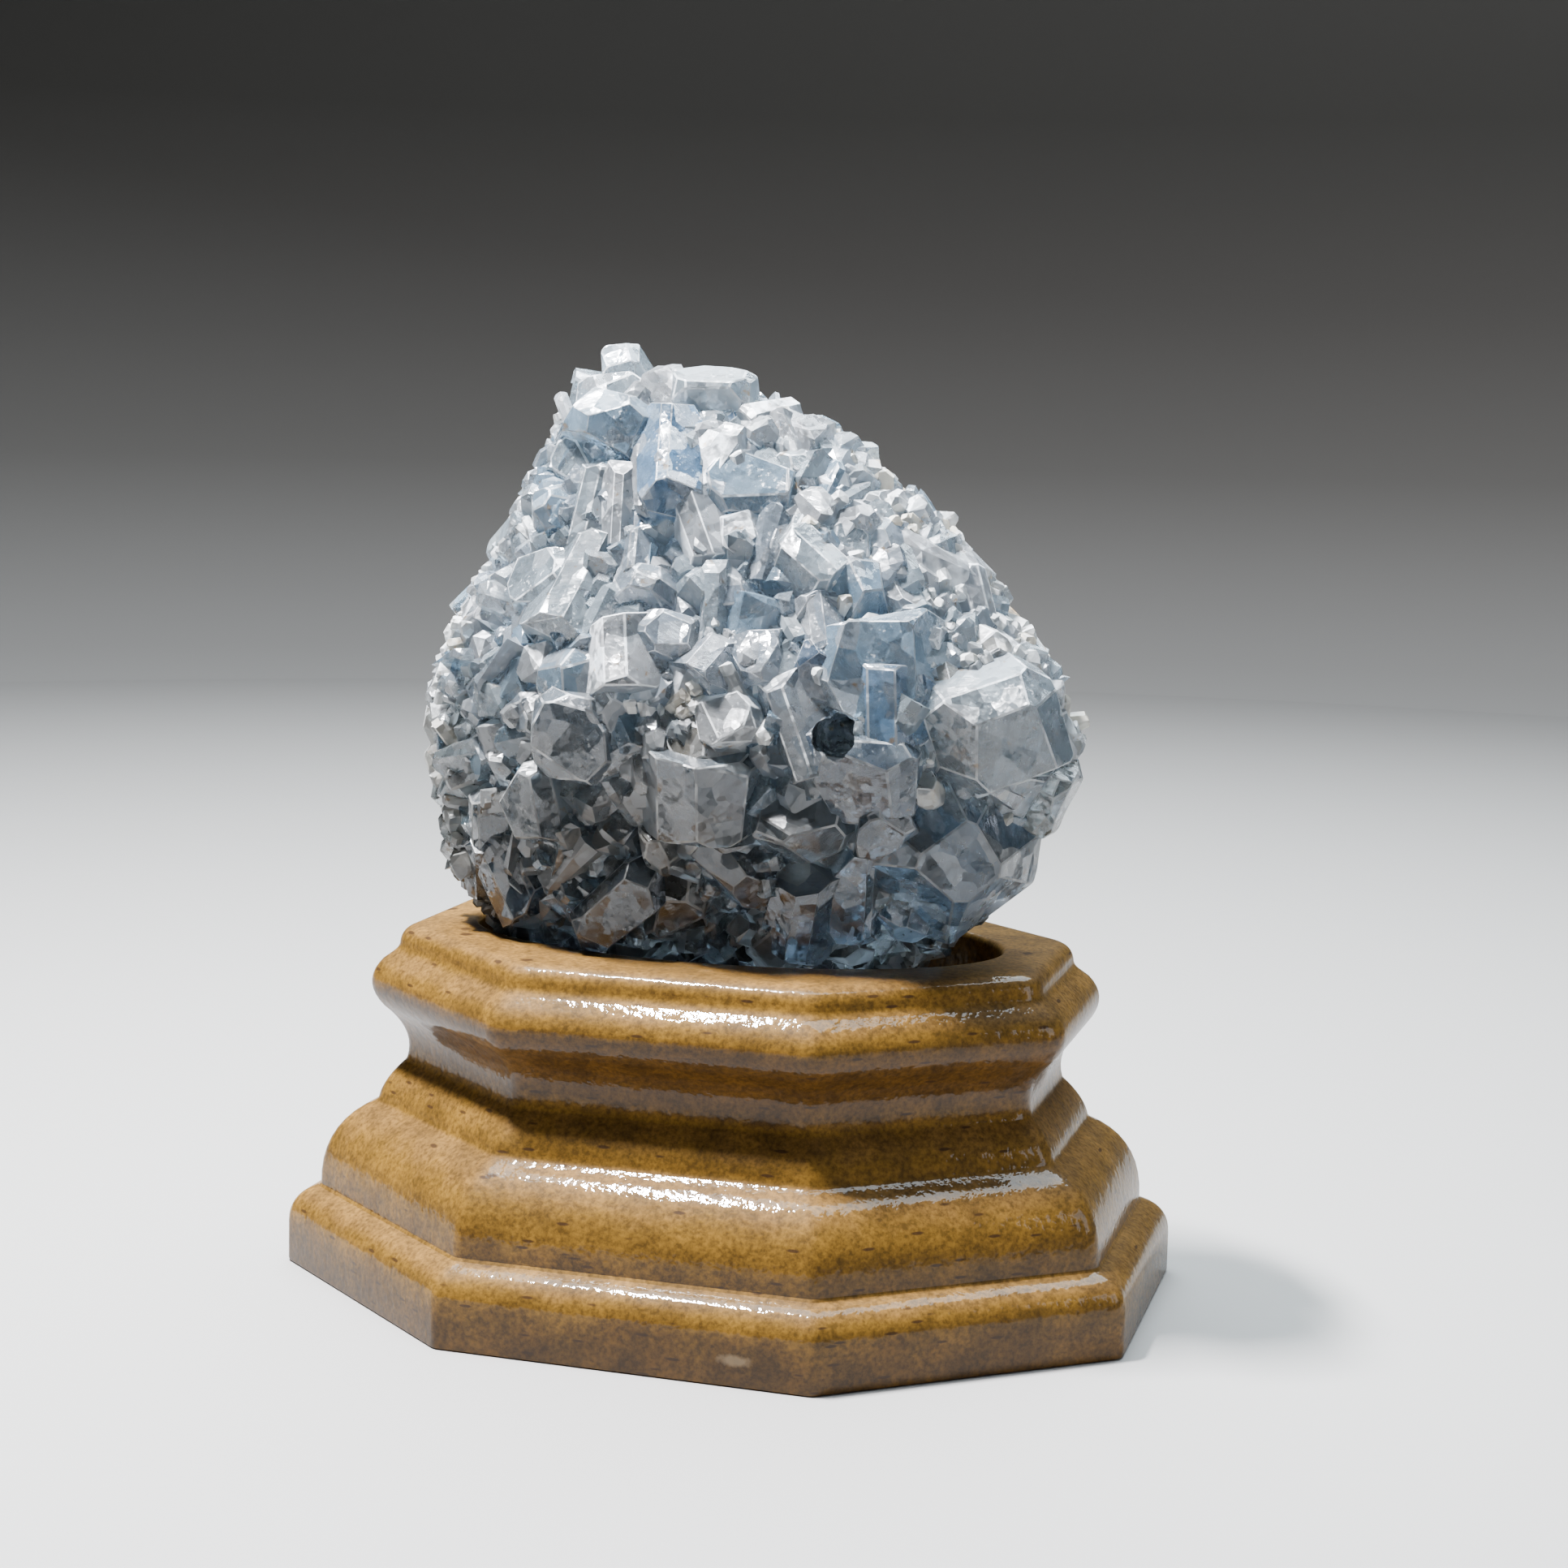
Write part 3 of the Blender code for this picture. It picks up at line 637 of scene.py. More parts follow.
def seedSurface(kind, inset, weight):
    # the front of the form at an inset, its corners carrying how densely crystals grow there
    bm = bmesh.new()
    rows, sides = seeds["rows"], seeds["sides"]
    grid = []
    for row in range(rows):
        height = specimenFoot + 1 + (seeds["top"] - specimenFoot - 1) * row / (rows - 1)
        angles = [seeds["start"] + seeds["sweep"] * i / (sides - 1) for i in range(sides)]
        grid.append([bm.verts.new(outlinePoint(height, angle, inset)) for angle in angles])
    for low, high in zip(grid, grid[1:]):
        for i in range(sides - 1):
            bm.faces.new((low[i], low[i + 1], high[i + 1], high[i]))
    density = bm.verts.layers.float.new("density")
    for vert in bm.verts:
        vert[density] = weight(vert.co)
    bmesh.ops.scale(bm, vec=(mm, mm, mm), verts=bm.verts)
    mesh = bpy.data.meshes.new(f"{kind}_seeds")
    bm.to_mesh(mesh)
    bm.free()
    return linked(bpy.data.objects.new(f"{kind}_seeds", mesh), cutters)


def smallWeight(point):
    return 1.0  # all over


def flakeWeight(point):
    # broken flakes cover ragged patches of the big crystals
    return max(0.0, min(1.0, 1.6 * noise.noise(point / 9 + Vector((3, 1, 7))) + 0.12))


def blob(point, x, z, width, height):
    # 1 at x, z and fading away from it; width and height are the squares of how far it reaches
    return math.exp(-((point.x - x) ** 2 / width + (point.z - z) ** 2 / height))


def crustWeight(point):
    # sugary white grains: along both edges of the geode, on its right shoulder and in a patch near the middle
    middle, half, _, _ = reach(point.z)
    across = (point.x - middle) / half
    edges = max(0.0, (abs(across) - seeds["edgeFrom"]) / seeds["edgeFade"])
    shoulder, patch = blob(point, *seeds["shoulder"]), blob(point, *seeds["patch"])
    ragged = 0.5 + 0.9 * noise.noise(point / 6)
    return max(0.0, min(1.0, (edges + shoulder + 0.7 * patch) * ragged))


def seedTree():
    # points on the seed surface, a leaning crystal on each, and all of them united with what is there
    tree = bpy.data.node_groups.new("grow seeded crystals", "GeometryNodeTree")
    socket = tree.interface.new_socket
    socket("Geometry", in_out="INPUT", socket_type="NodeSocketGeometry")
    socket("Seed surface", in_out="INPUT", socket_type="NodeSocketObject")
    socket("Crystals", in_out="INPUT", socket_type="NodeSocketCollection")
    for name in ("Spacing", "Smallest", "Largest", "Lean"):
        socket(name, in_out="INPUT", socket_type="NodeSocketFloat")
    socket("Seed", in_out="INPUT", socket_type="NodeSocketInt")
    socket("Material", in_out="INPUT", socket_type="NodeSocketMaterial")
    socket("Geometry", in_out="OUTPUT", socket_type="NodeSocketGeometry")
    given = addNode(tree, "NodeGroupInput").outputs
    surface = addNode(tree, "GeometryNodeObjectInfo", inputs={"Object": given["Seed surface"]})
    density = addNode(tree, "GeometryNodeInputNamedAttribute", {"data_type": "FLOAT"}, {"Name": "density"})
    spread = addNode(tree, "GeometryNodeDistributePointsOnFaces", {"distribute_method": "POISSON"}, {
        "Mesh": surface.outputs["Geometry"], "Distance Min": given["Spacing"], "Seed": given["Seed"],
        "Density Max": seeds["densest"], "Density Factor": density.outputs["Attribute"]})
    scaled = {"operation": "SCALE"}
    low = addNode(tree, "ShaderNodeVectorMath", scaled, {0: (-1, -1, -1), "Scale": given["Lean"]})
    high = addNode(tree, "ShaderNodeVectorMath", scaled, {0: (1, 1, 1), "Scale": given["Lean"]})
    lean = addNode(tree, "FunctionNodeRandomValue", {"data_type": "FLOAT_VECTOR"}, {
        "Min": low, "Max": high, "Seed": given["Seed"]})
    turned = addNode(tree, "FunctionNodeRotateRotation", {"rotation_space": "LOCAL"}, {
        "Rotation": spread.outputs["Rotation"], "Rotate By": lean.outputs[0]})
    size = addNode(tree, "FunctionNodeRandomValue", {"data_type": "FLOAT"}, {
        2: given["Smallest"], 3: given["Largest"], "Seed": given["Seed"]})
    kinds = addNode(tree, "GeometryNodeCollectionInfo", inputs={
        "Collection": given["Crystals"], "Separate Children": True, "Reset Children": True})
    grown = addNode(tree, "GeometryNodeInstanceOnPoints", inputs={
        "Points": spread.outputs["Points"], "Instance": kinds.outputs[0], "Pick Instance": True,
        "Rotation": turned.outputs[0], "Scale": size.outputs[1]})
    joined = addNode(tree, "GeometryNodeMeshBoolean", {"operation": "UNION", "solver": "MANIFOLD"})
    tree.links.new(given["Geometry"], joined.inputs[1])
    tree.links.new(grown.outputs[0], joined.inputs[1])
    real = addNode(tree, "GeometryNodeRealizeInstances", inputs={"Geometry": joined.outputs[0]})
    finish = addNode(tree, "GeometryNodeSetMaterial", inputs={
        "Geometry": real.outputs[0], "Material": given["Material"]})
    addNode(tree, "NodeGroupOutput", inputs={"Geometry": finish.outputs[0]})
    return tree


def addSeeds(obj, tree, surface, kinds, sizes, finish):
    modifier = obj.modifiers.new("Seeded crystals", "NODES")
    modifier.node_group = tree
    values = {
        "Seed surface": surface, "Crystals": kinds, "Spacing": sizes["spacing"] * mm,
        "Smallest": sizes["smallest"], "Largest": sizes["largest"], "Lean": sizes["lean"],
        "Seed": sizes["seed"], "Material": finish,
    }
    for item in tree.interface.items_tree:
        if item.in_out == "INPUT" and item.name in values:
            modifier[item.identifier] = values[item.name]


def makeCrystals(clearance, seat, finish):
    growths = hidden("crystal growths")
    makeMainGrowths(growths)
    druse = linked(tintedForm("druse", bedForm(), "grey"))
    union = druse.modifiers.new("Union", "BOOLEAN")
    union.operation = "UNION"
    union.solver = "MANIFOLD"
    union.operand_type = "COLLECTION"
    union.collection = growths
    tree = seedTree()
    for kind, weight in (("small", smallWeight), ("flake", flakeWeight), ("crust", crustWeight)):
        sizes = seeds[kind]
        surface = seedSurface(kind, sizes["inset"], weight)
        addSeeds(druse, tree, surface, makeVariants(kind, sizes), sizes, finish)
    # painted shade: the pocket's faces carry the near-black hole tint
    pocket = linked(tintedForm("pocket", pocketForm(*crystals["pocket"]), "hole"), cutters)
    cut(druse, pocket)
    cut(druse, clearance)
    cut(druse, seat)
    return baked(druse, "celestite_druse")


# materials

times, plus, minus = {"operation": "MULTIPLY"}, {"operation": "ADD"}, {"operation": "SUBTRACT"}
mixed = {"data_type": "RGBA", "blend_type": "MIX"}
multiplied = {"data_type": "RGBA", "blend_type": "MULTIPLY"}
soft = {"Detail": 3, "Roughness": 0.55}


def mottle(tree, place, size, detail, roughness, stops):
    # soft patches about size millimetres across
    blotches = addNode(tree, "ShaderNodeTexNoise", inputs={
        "Vector": place, "Scale": 1 / (size * mm), "Detail": detail, "Roughness": roughness})
    return addNode(tree, "ShaderNodeValToRGB", {"stops": stops}, {"Fac": blotches})


def laidOver(tree, mask, strength, below, hexColour):
    # a colour laid over what is below, where the mask is white
    share = addNode(tree, "ShaderNodeMath", times, {0: mask, 1: strength})
    return addNode(tree, "ShaderNodeMix", mixed, {0: share, 6: below, 7: toLinear(hexColour)}).outputs[2]


celestiteLook = {
    "facet": 3.6, "facetTilt": 0.5, "smallFacet": 1.3, "smallFacetTilt": 0.22, "tiltMiddle": 0.36,
    "bend": 4, "bendBy": 1.5, "growthStep": 0.9, "growthLine": 2.6, "relief": 0.35, "reliefDepth": 0.25,
    "frostShare": 0.45, "etchedShare": 0.16, "leastRoughness": 0.07, "rubPatch": 2.2,
    # painted shade: this ramp darkens the crystals towards the bottom, by height over this many millimetres
    "paintedShadeHeight": 140, "paintedLowShade": [(0.36, "#5C574F"), (0.5, "#8C8880"), (0.6, "#C4C2BE"), (0.7, "#FFFFFF")],
    "ior": 1.62, "clear": 0.84, "lostWhereDull": 0.5, "body": "#C0CFDB", "bodyDensity": 20.0,
}


def celestiteFinish():
    # celestite: clear to milky pale blue crystal, its faces etched and frosted, edges rubbed white
    look = celestiteLook
    made, tree, shader, output, place = newMaterial("celestite, etched crystal faces")
    tint = addNode(tree, "ShaderNodeAttribute", {"attribute_name": "tint"})
    cloud = mottle(tree, place, 5.0, 5, 0.55, [(0.35, 0.0), (0.7, 1.0)])
    veiled = laidOver(tree, cloud, 0.45, tint.outputs["Color"], "#DCEDF8")
    # inner fractures and intergrown facets show as cells of their own brightness and slope
    wander = addNode(tree, "ShaderNodeTexNoise", inputs={"Vector": place, "Scale": 1 / (look["bend"] * mm)})
    bent = addNode(tree, "ShaderNodeVectorMath", {"operation": "MULTIPLY_ADD"}, {
        0: wander.outputs["Color"], 1: (look["bendBy"] * mm,) * 3, 2: place})
    broad = addNode(tree, "ShaderNodeTexVoronoi", inputs={
        "Vector": bent, "Scale": 1 / (look["facet"] * mm)}).outputs["Color"]
    narrow = addNode(tree, "ShaderNodeTexVoronoi", inputs={
        "Vector": bent, "Scale": 1 / (look["smallFacet"] * mm)}).outputs["Color"]
    drawn = addNode(tree, "ShaderNodeSeparateXYZ", inputs={0: broad}).outputs
    dimmed = addNode(tree, "ShaderNodeValToRGB", {"stops": [(0.0, 0.66), (0.5, 0.92), (1.0, 1.0)]}, {
        "Fac": drawn["X"]})
    fractured = addNode(tree, "ShaderNodeMix", multiplied, {0: 1.0, 6: veiled, 7: dimmed}).outputs[2]
    healed = addNode(tree, "ShaderNodeValToRGB", {"stops": [(0.72, 0.0), (0.82, 1.0)]}, {"Fac": drawn["Y"]})
    veined = laidOver(tree, healed, 0.55, fractured, "#F4F8FC")
    grain = mottle(tree, place, 1.1, 3, 0.55, [(0.38, 0.78), (0.62, 1.0)])
    speckled = addNode(tree, "ShaderNodeMix", multiplied, {0: 0.6, 6: veined, 7: grain}).outputs[2]
    dirt = mottle(tree, place, 2.6, 6, 0.65, [(0.63, 0.0), (0.68, 1.0)])
    stained = laidOver(tree, dirt, 0.8, speckled, "#B8925A")
    # fine chips and dust, white, in patches
    chips = mottle(tree, place, 0.7, 3, 0.6, [(0.6, 0.0), (0.66, 1.0)])
    chipPatches = mottle(tree, place, 6.0, 3, 0.55, [(0.48, 0.0), (0.6, 1.0)])
    chipped = addNode(tree, "ShaderNodeMath", times, {0: chips, 1: chipPatches})
    dusted = laidOver(tree, chipped, 0.8, stained, "#F6F9FC")
    # painted shade: the lower crystals are painted darker than the upper ones, darker towards the bottom
    height = addNode(tree, "ShaderNodeSeparateXYZ", inputs={0: place}).outputs["Z"]
    level = addNode(tree, "ShaderNodeMath", {"operation": "DIVIDE"}, {0: height, 1: look["paintedShadeHeight"] * mm})
    paintedLowShade = addNode(tree, "ShaderNodeValToRGB", {"stops": look["paintedLowShade"]}, {"Fac": level})
    lowShaded = addNode(tree, "ShaderNodeMix", multiplied, {0: 1.0, 6: dusted, 7: paintedLowShade})
    tree.links.new(lowShaded.outputs[2], shader.inputs["Base Color"])
    frost = addNode(tree, "ShaderNodeMath", times, {0: tint.outputs["Alpha"], 1: look["frostShare"]})
    etched = mottle(tree, place, 2.4, 5, 0.55, [(0.4, 0.0), (0.62, 1.0)])
    etching = addNode(tree, "ShaderNodeMath", times, {0: etched, 1: look["etchedShare"]})
    uneven = addNode(tree, "ShaderNodeMath", plus, {0: frost, 1: etching})
    rough = addNode(tree, "ShaderNodeMath", {"operation": "ADD", "use_clamp": True}, {
        0: uneven, 1: look["leastRoughness"]})
    tree.links.new(rough.outputs[0], shader.inputs["Roughness"])
    shader.inputs["IOR"].default_value = look["ior"]
    # rubbed edges and sugary grains let little light through
    drift = addNode(tree, "ShaderNodeTexNoise", inputs={
        "Vector": place, "Scale": 1 / (look["rubPatch"] * mm), **soft})
    middled = addNode(tree, "ShaderNodeMath", minus, {0: drift, 1: 0.56})
    patchy = addNode(tree, "ShaderNodeMath", times, {0: middled, 1: 0.9})
    frosted = addNode(tree, "ShaderNodeMath", plus, {0: tint.outputs["Alpha"], 1: patchy})
    rubbed = addNode(tree, "ShaderNodeValToRGB", {"stops": [(0.6, 0.0), (0.74, 1.0)]}, {"Fac": frosted})
    dusty = addNode(tree, "ShaderNodeMath", times, {0: chipped, 1: 0.7})
    dull = addNode(tree, "ShaderNodeMath", {"operation": "MAXIMUM"}, {0: rubbed, 1: dusty})
    clear = addNode(tree, "ShaderNodeMath", {"operation": "MULTIPLY_ADD"}, {
        0: dull, 1: -look["lostWhereDull"], 2: look["clear"]})
    tree.links.new(clear.outputs[0], shader.inputs["Transmission Weight"])
    # growth steps on some faces, fine growth lines on the others
    steps = addNode(tree, "ShaderNodeTexVoronoi", inputs={
        "Vector": place, "Scale": 1 / (look["growthStep"] * mm)})
    stretched = addNode(tree, "ShaderNodeMapping", inputs={
        "Vector": place, "Rotation": (0.5, 0.9, 0.3), "Scale": (1.0, 7.0, 1.0)})
    lines = addNode(tree, "ShaderNodeTexNoise", inputs={
        "Vector": stretched, "Scale": 1 / (look["growthLine"] * mm), **soft})
    mask = mottle(tree, place, 6.0, 2, 0.55, [(0.45, 0.0), (0.6, 1.0)])
    relief = addNode(tree, "ShaderNodeMix", {"data_type": "FLOAT"}, {0: mask, 2: lines, 3: steps})
    bump = addNode(tree, "ShaderNodeBump", inputs={
        "Height": relief, "Strength": look["relief"], "Distance": look["reliefDepth"] * mm})
    broadSlope = addNode(tree, "ShaderNodeVectorMath", {"operation": "SCALE"}, {
        0: broad, "Scale": look["facetTilt"]})
    narrowSlope = addNode(tree, "ShaderNodeVectorMath", {"operation": "SCALE"}, {
        0: narrow, "Scale": look["smallFacetTilt"]})
    slopes = addNode(tree, "ShaderNodeVectorMath", plus, {0: broadSlope, 1: narrowSlope})
    centred = addNode(tree, "ShaderNodeVectorMath", minus, {0: slopes, 1: (look["tiltMiddle"],) * 3})
    tilted = addNode(tree, "ShaderNodeVectorMath", plus, {0: bump, 1: centred})
    facing = addNode(tree, "ShaderNodeVectorMath", {"operation": "NORMALIZE"}, {0: tilted})
    tree.links.new(facing.outputs[0], shader.inputs["Normal"])
    body = addNode(tree, "ShaderNodeVolumeAbsorption", inputs={
        "Color": toLinear(look["body"]), "Density": look["bodyDensity"]})
    tree.links.new(body.outputs[0], output.inputs["Volume"])
    return made


rockLook = {"pit": 1.2, "bump": 0.7, "bumpDepth": 0.5}


def rockFinish():
    # geode wall: granular stained rock with patches of tiny sugary crystals
    made, tree, shader, _, place = newMaterial("geode wall, rough granular rock")
    base = mottle(tree, place, 11.0, 6, 0.65, [(0.34, "#5F5648"), (0.5, "#847A69"), (0.66, "#A9A190")])
    grain = mottle(tree, place, 0.9, 4, 0.55, [(0.35, 0.5), (0.65, 1.0)])
    grained = addNode(tree, "ShaderNodeMix", multiplied, {0: 0.9, 6: base, 7: grain}).outputs[2]
    rust = mottle(tree, place, 5.0, 6, 0.7, [(0.54, 0.0), (0.64, 1.0)])
    stained = laidOver(tree, rust, 0.7, grained, "#8A6334")
    sugar = mottle(tree, place, 7.0, 6, 0.7, [(0.6, 0.0), (0.66, 1.0)])
    crusted = laidOver(tree, sugar, 0.75, stained, "#D6D2C6")
    # the side that the crystals root in is painted a dark blue-grey band, a painted shade seen only through
    # them
    normal = addNode(tree, "ShaderNodeNewGeometry").outputs["Normal"]
    facing = addNode(tree, "ShaderNodeSeparateXYZ", inputs={0: normal}).outputs["Y"]
    forwards = addNode(tree, "ShaderNodeMath", times, {0: facing, 1: -1.0})
    innerShade = addNode(tree, "ShaderNodeValToRGB", {"stops": [(0.3, 0.0), (0.6, 1.0)]}, {"Fac": forwards})
    innerShaded = addNode(tree, "ShaderNodeMix", mixed, {0: innerShade, 6: crusted, 7: toLinear("#3C4650")})
    tree.links.new(innerShaded.outputs[2], shader.inputs["Base Color"])
    rough = mottle(tree, place, 1.6, 3, 0.55, [(0.3, 0.6), (0.7, 0.95)])
    tree.links.new(rough.outputs[0], shader.inputs["Roughness"])
    pits = addNode(tree, "ShaderNodeTexVoronoi", inputs={
        "Vector": place, "Scale": 1 / (rockLook["pit"] * mm)})
    bump = addNode(tree, "ShaderNodeBump", inputs={
        "Height": pits, "Strength": rockLook["bump"], "Distance": rockLook["bumpDepth"] * mm})
    tree.links.new(bump.outputs[0], shader.inputs["Normal"])
    return made


boardLook = {
    # by slope, from hanging faces through upright ones to the flat top: the stain's own colour with painted
    # shade on hanging and upright faces and painted light on the top
    "stainAndShade": [(0.25, "#49300C"), (0.47, "#503710"), (0.58, "#5F4415"), (0.74, "#5E4416"), (0.9, "#634820")],
    "stainPatch": 6.0, "speck": 3.6, "speckTurn": (0.2, 0.1, 0.6), "speckStretch": (0.5, 0.5, 2.2),
    "shader": {
        "Roughness": 0.6, "Specular IOR Level": 0.08,
        "Coat Weight": 0.38, "Coat Roughness": 0.04, "Coat IOR": 1.5},
    "pool": 1.5, "bump": 0.6, "bumpDepth": 0.16,
}


def boardFinish():
    # stained medium-density fibreboard: short fibres, soft mottling, a gloss varnish pooled unevenly
    look = boardLook
    made, tree, shader, _, place = newMaterial("fibreboard under gloss varnish")
    normal = addNode(tree, "ShaderNodeNewGeometry").outputs["Normal"]
    slope = addNode(tree, "ShaderNodeSeparateXYZ", inputs={0: normal}).outputs["Z"]
    drift = addNode(tree, "ShaderNodeTexNoise", inputs={
        "Vector": place, "Scale": 1 / (look["stainPatch"] * mm), "Detail": 5, "Roughness": 0.65})
    middled = addNode(tree, "ShaderNodeMath", minus, {0: drift, 1: 0.5})
    patchy = addNode(tree, "ShaderNodeMath", times, {0: middled, 1: 0.9})
    uneven = addNode(tree, "ShaderNodeMath", plus, {0: slope, 1: patchy})
    level = addNode(tree, "ShaderNodeMath", {"operation": "MULTIPLY_ADD"}, {0: uneven, 1: 0.5, 2: 0.5})
    # painted shade and light: the stain's colour by slope is darker on hanging faces and lighter on the top
    stainAndShade = addNode(tree, "ShaderNodeValToRGB", {"stops": look["stainAndShade"]}, {"Fac": level})
    blotch = mottle(tree, place, 7.0, 5, 0.65, [(0.38, 0.68), (0.6, 1.12)])
    mottled = addNode(tree, "ShaderNodeMix", multiplied, {0: 1.0, 6: stainAndShade, 7: blotch}).outputs[2]
    fine = mottle(tree, place, 0.75, 4, 0.65, [(0.36, 0.5), (0.5, 0.9), (0.64, 1.25)])
    fibred = addNode(tree, "ShaderNodeMix", multiplied, {0: 0.9, 6: mottled, 7: fine}).outputs[2]
    stretched = addNode(tree, "ShaderNodeMapping", inputs={
        "Vector": place, "Rotation": look["speckTurn"], "Scale": look["speckStretch"]})
    flakes = addNode(tree, "ShaderNodeTexVoronoi", inputs={
        "Vector": stretched, "Scale": 1 / (look["speck"] * mm)})
    specks = addNode(tree, "ShaderNodeValToRGB", {"stops": [(0.1, 1.0), (0.16, 0.0)]}, {"Fac": flakes})
    flecked = laidOver(tree, specks, 0.85, fibred, "#2A1A0C")
    # a small pale scuff low on the front of the foot
    near = addNode(tree, "ShaderNodeMapping", {"vector_type": "TEXTURE"}, {
        "Vector": place, "Location": [v * mm for v in plinth["scuff"]],
        "Scale": [v * mm for v in plinth["scuffSize"]]})
    away = addNode(tree, "ShaderNodeVectorMath", {"operation": "LENGTH"}, {0: near}).outputs["Value"]
    ragged = addNode(tree, "ShaderNodeTexNoise", inputs={
        "Vector": place, "Scale": 1 / (1.2 * mm), **soft})
    border = addNode(tree, "ShaderNodeMath", plus, {0: away, 1: ragged})
    scaled = addNode(tree, "ShaderNodeMath", times, {0: border, 1: 0.45})
    scuff = addNode(tree, "ShaderNodeValToRGB", {"stops": [(0.45, 1.0), (0.7, 0.0)]}, {"Fac": scaled})
    tree.links.new(laidOver(tree, scuff, 0.4, flecked, "#A58F70"), shader.inputs["Base Color"])
    for name, value in look["shader"].items():
        shader.inputs[name].default_value = value
    pooled = addNode(tree, "ShaderNodeTexNoise", inputs={
        "Vector": place, "Scale": 1 / (look["pool"] * mm), "Detail": 2, "Roughness": 0.55})
    bump = addNode(tree, "ShaderNodeBump", inputs={
        "Height": pooled, "Strength": look["bump"], "Distance": look["bumpDepth"] * mm})
    tree.links.new(bump.outputs[0], shader.inputs["Normal"])
    tree.links.new(bump.outputs[0], shader.inputs["Coat Normal"])
    return made


# stage, lights and camera

studio = {
    "floorRadius": 900.0, "coveRadius": 500.0, "wallHeight": 500.0,
    "cameraPlace": (119.8, -383.9, 131.6), "cameraRight": (0.9584, 0.2845, 0.0215),
    "cameraUp": (-0.0596, 0.1262, 0.9902), "cameraForward": (-0.2790, 0.9503, -0.1379),
    "focalPixels": 3300.0, "photoPixels": 1932.0, "sensor": 36.0, "clipStart": 0.01,
    "world": ("#E8EEF4", 0.08), "sides": 96, "coveTurns": range(10, 100, 10),
    # the backdrop darkens with height: partly its own grey, partly painted shade where the light falls off
    "paintedFalloffHeight": 400, "fade": [(0.0, "#979593"), (0.25, "#72706D"), (0.8, "#4C4B48")], "roughness": 0.6,
}
lamps = (
    # name, place, aim, size x, size y, watts, colour
    ("key", (-160, -80, 540), (0, 0, 80), 100, 40, 25.0, "#FCFCFF"),
    ("right", (460, -60, 200), (0, 0, 70), 160, 200, 0.5, "#EEF3FF"),
    ("overhead", (0, 200, 620), (0, 0, 90), 640, 640, 19.5, "#E5F2FA"),
)


def floorFinish():
    # a pale table that runs up into a grey backdrop, painted darker upwards: a painted shade where the light
    # falls off
    made, tree, shader, _, place = newMaterial("pale matt table, backdrop painted darker upwards")
    height = addNode(tree, "ShaderNodeSeparateXYZ", inputs={0: place}).outputs["Z"]
    level = addNode(tree, "ShaderNodeMath", {"operation": "DIVIDE"}, {
        0: height, 1: studio["paintedFalloffHeight"] * mm})
    # painted shade: the cove's colour darkens with height
    colour = addNode(tree, "ShaderNodeValToRGB", {"stops": studio["fade"]}, {"Fac": level})
    tree.links.new(colour.outputs[0], shader.inputs["Base Color"])
    shader.inputs["Roughness"].default_value = studio["roughness"]
    return made


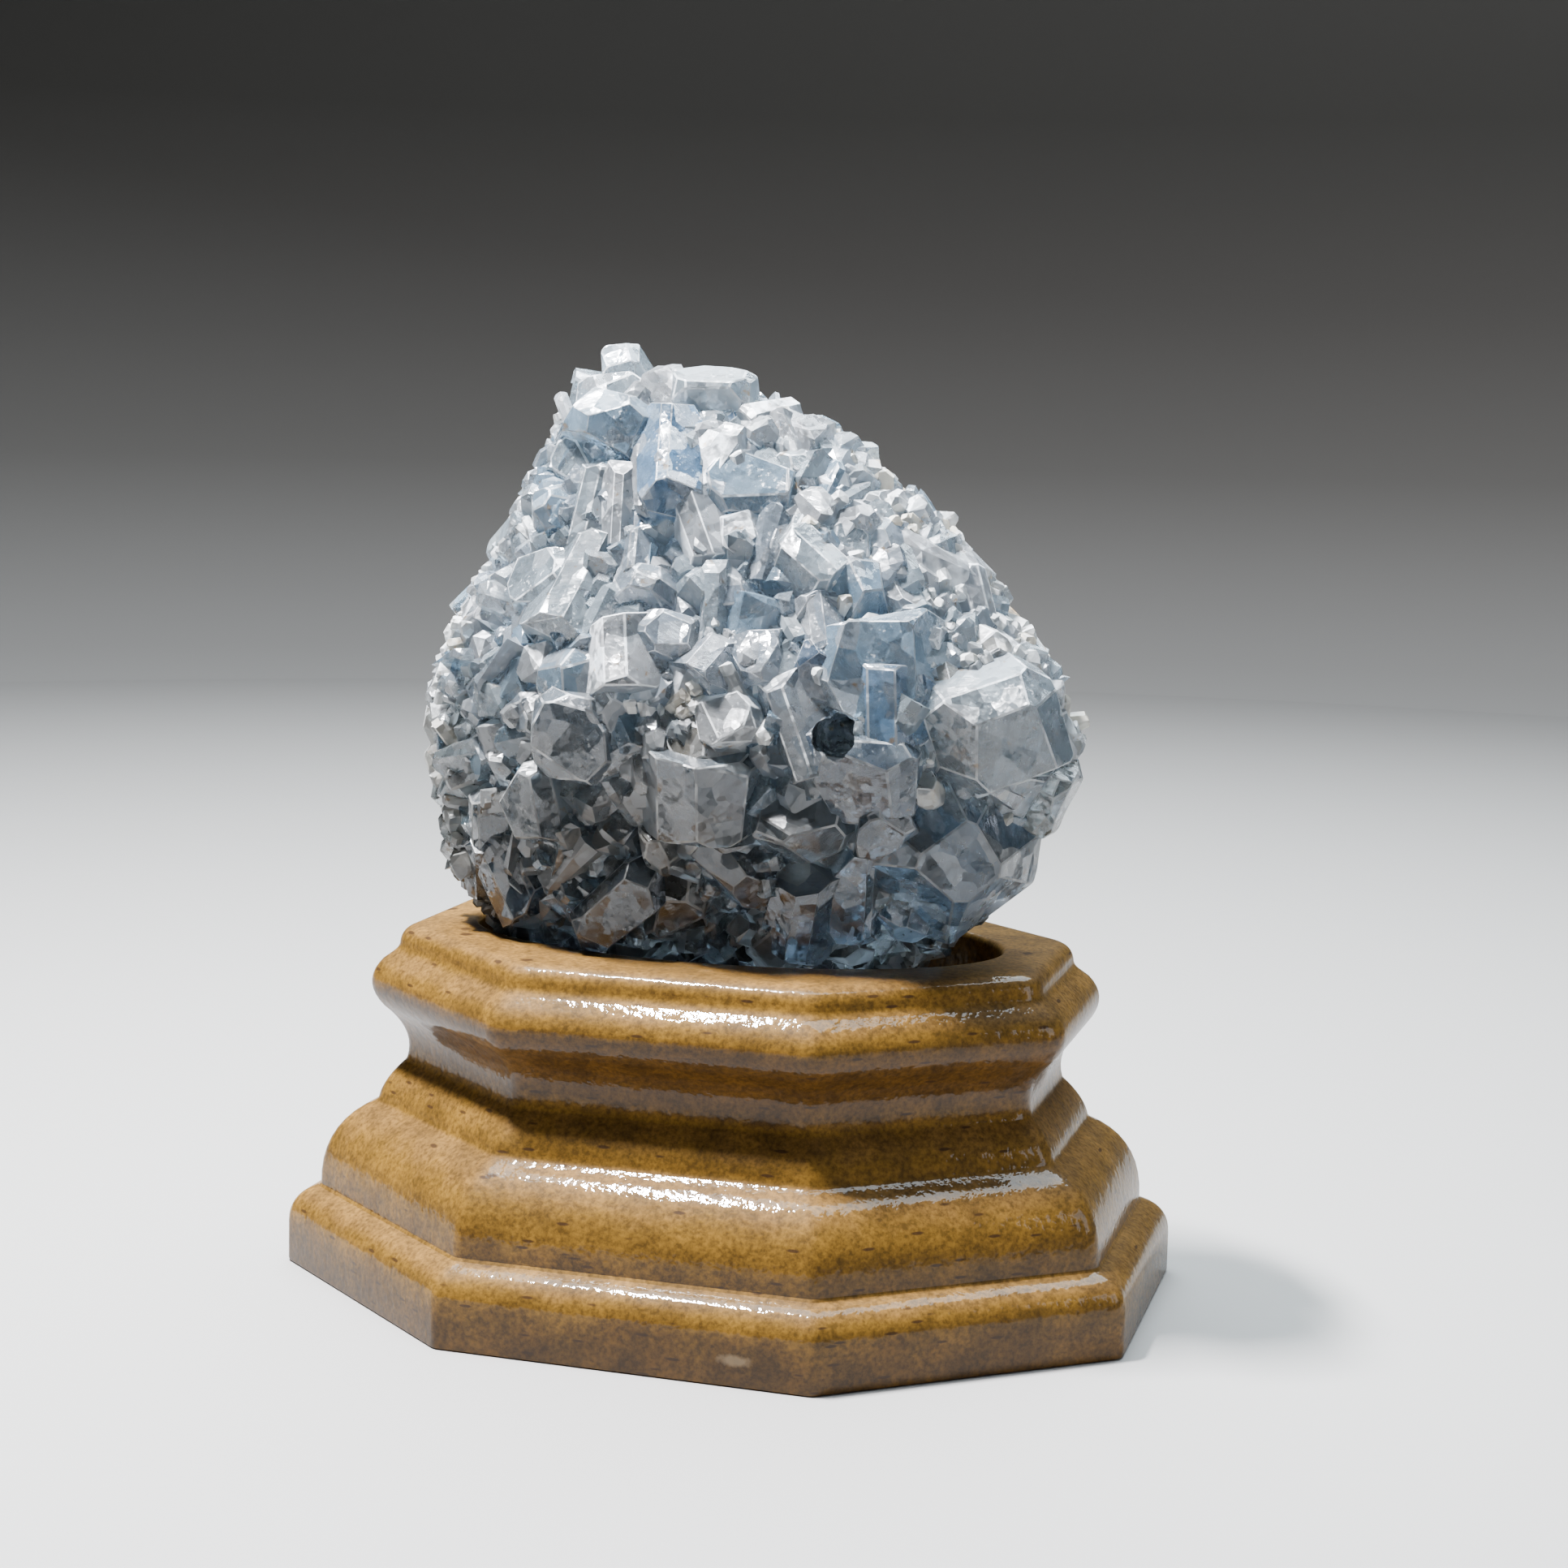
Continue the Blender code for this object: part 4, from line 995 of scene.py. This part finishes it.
def makeStage():
    profile = [(studio["floorRadius"], 0.0)]
    for degrees in studio["coveTurns"]:
        angle = math.radians(degrees)
        profile.append((studio["floorRadius"] + studio["coveRadius"] * math.sin(angle),
                        studio["coveRadius"] * (1 - math.cos(angle))))
    profile.append((profile[-1][0], profile[-1][1] + studio["wallHeight"]))
    bm = bmesh.new()
    sides = studio["sides"]
    turns = [2 * math.pi * i / sides for i in range(sides)]
    rings = []
    for radius, height in profile:
        ring = [(radius * math.cos(t) * mm, radius * math.sin(t) * mm, height * mm) for t in turns]
        rings.append([bm.verts.new(point) for point in ring])
    bm.faces.new(rings[0])
    for low, high in zip(rings, rings[1:]):
        for i in range(sides):
            j = (i + 1) % sides
            face = bm.faces.new((low[i], high[i], high[j], low[j]))
            face.smooth = True
    mesh = bpy.data.meshes.new("table_and_cove")
    bm.to_mesh(mesh)
    bm.free()
    mesh.materials.append(floorFinish())
    made = linked(bpy.data.objects.new("table_and_cove", mesh))


def makeLights():
    for name, place, aim, sizeX, sizeY, watts, colour in lamps:
        data = bpy.data.lights.new(name, "AREA")
        data.shape = "RECTANGLE"
        data.size, data.size_y = sizeX * mm, sizeY * mm
        data.energy = watts
        data.color = toLinear(colour)[:3]
        lamp = linked(bpy.data.objects.new(name, data))
        lamp.location = Vector(place) * mm
        lamp.rotation_euler = (Vector(aim) - Vector(place)).to_track_quat("-Z", "Y").to_euler()
    world = bpy.data.worlds.new("soft studio")
    world.use_nodes = True
    colour, strength = studio["world"]
    sky = world.node_tree.nodes["Background"]
    sky.inputs["Color"].default_value = toLinear(colour)
    sky.inputs["Strength"].default_value = strength
    bpy.context.scene.world = world


def makeCamera():
    data = bpy.data.cameras.new("camera")
    data.sensor_width = studio["sensor"]
    data.lens = studio["focalPixels"] / studio["photoPixels"] * studio["sensor"]
    data.clip_start = studio["clipStart"]
    camera = linked(bpy.data.objects.new("camera", data))
    axes = Matrix((studio["cameraRight"], studio["cameraUp"],
                   tuple(-v for v in studio["cameraForward"]))).transposed()
    camera.matrix_world = Matrix.Translation(Vector(studio["cameraPlace"]) * mm) @ axes.to_4x4()
    bpy.context.scene.camera = camera


# everything together

def dress(piece, finish):
    piece.data.materials.clear()
    piece.data.materials.append(finish)
    print(piece.name, "made:", len(piece.data.polygons), "faces")


seat = makeSeat()
board = makePlinth()
dress(board, boardFinish())
rock, clearance = makeWall(seat)
dress(rock, rockFinish())
celestite = celestiteFinish()
druse = makeCrystals(clearance, seat, celestite)
dress(druse, celestite)
# the cutters and the shapes that were grown from are done with
for obj in list(bpy.data.objects):
    if any(group.hide_render for group in obj.users_collection):
        bpy.data.objects.remove(obj, do_unlink=True)
makeStage()
makeLights()
makeCamera()
print("stage, lamps and camera made")
for piece, node, slotName in (
        (board, "moulded_plinth", "varnished_fibreboard"), (rock, "geode_wall", "wall_rock"),
        (druse, "celestite_crystals", "celestite")):
    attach(piece, "root")
    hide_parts(node)
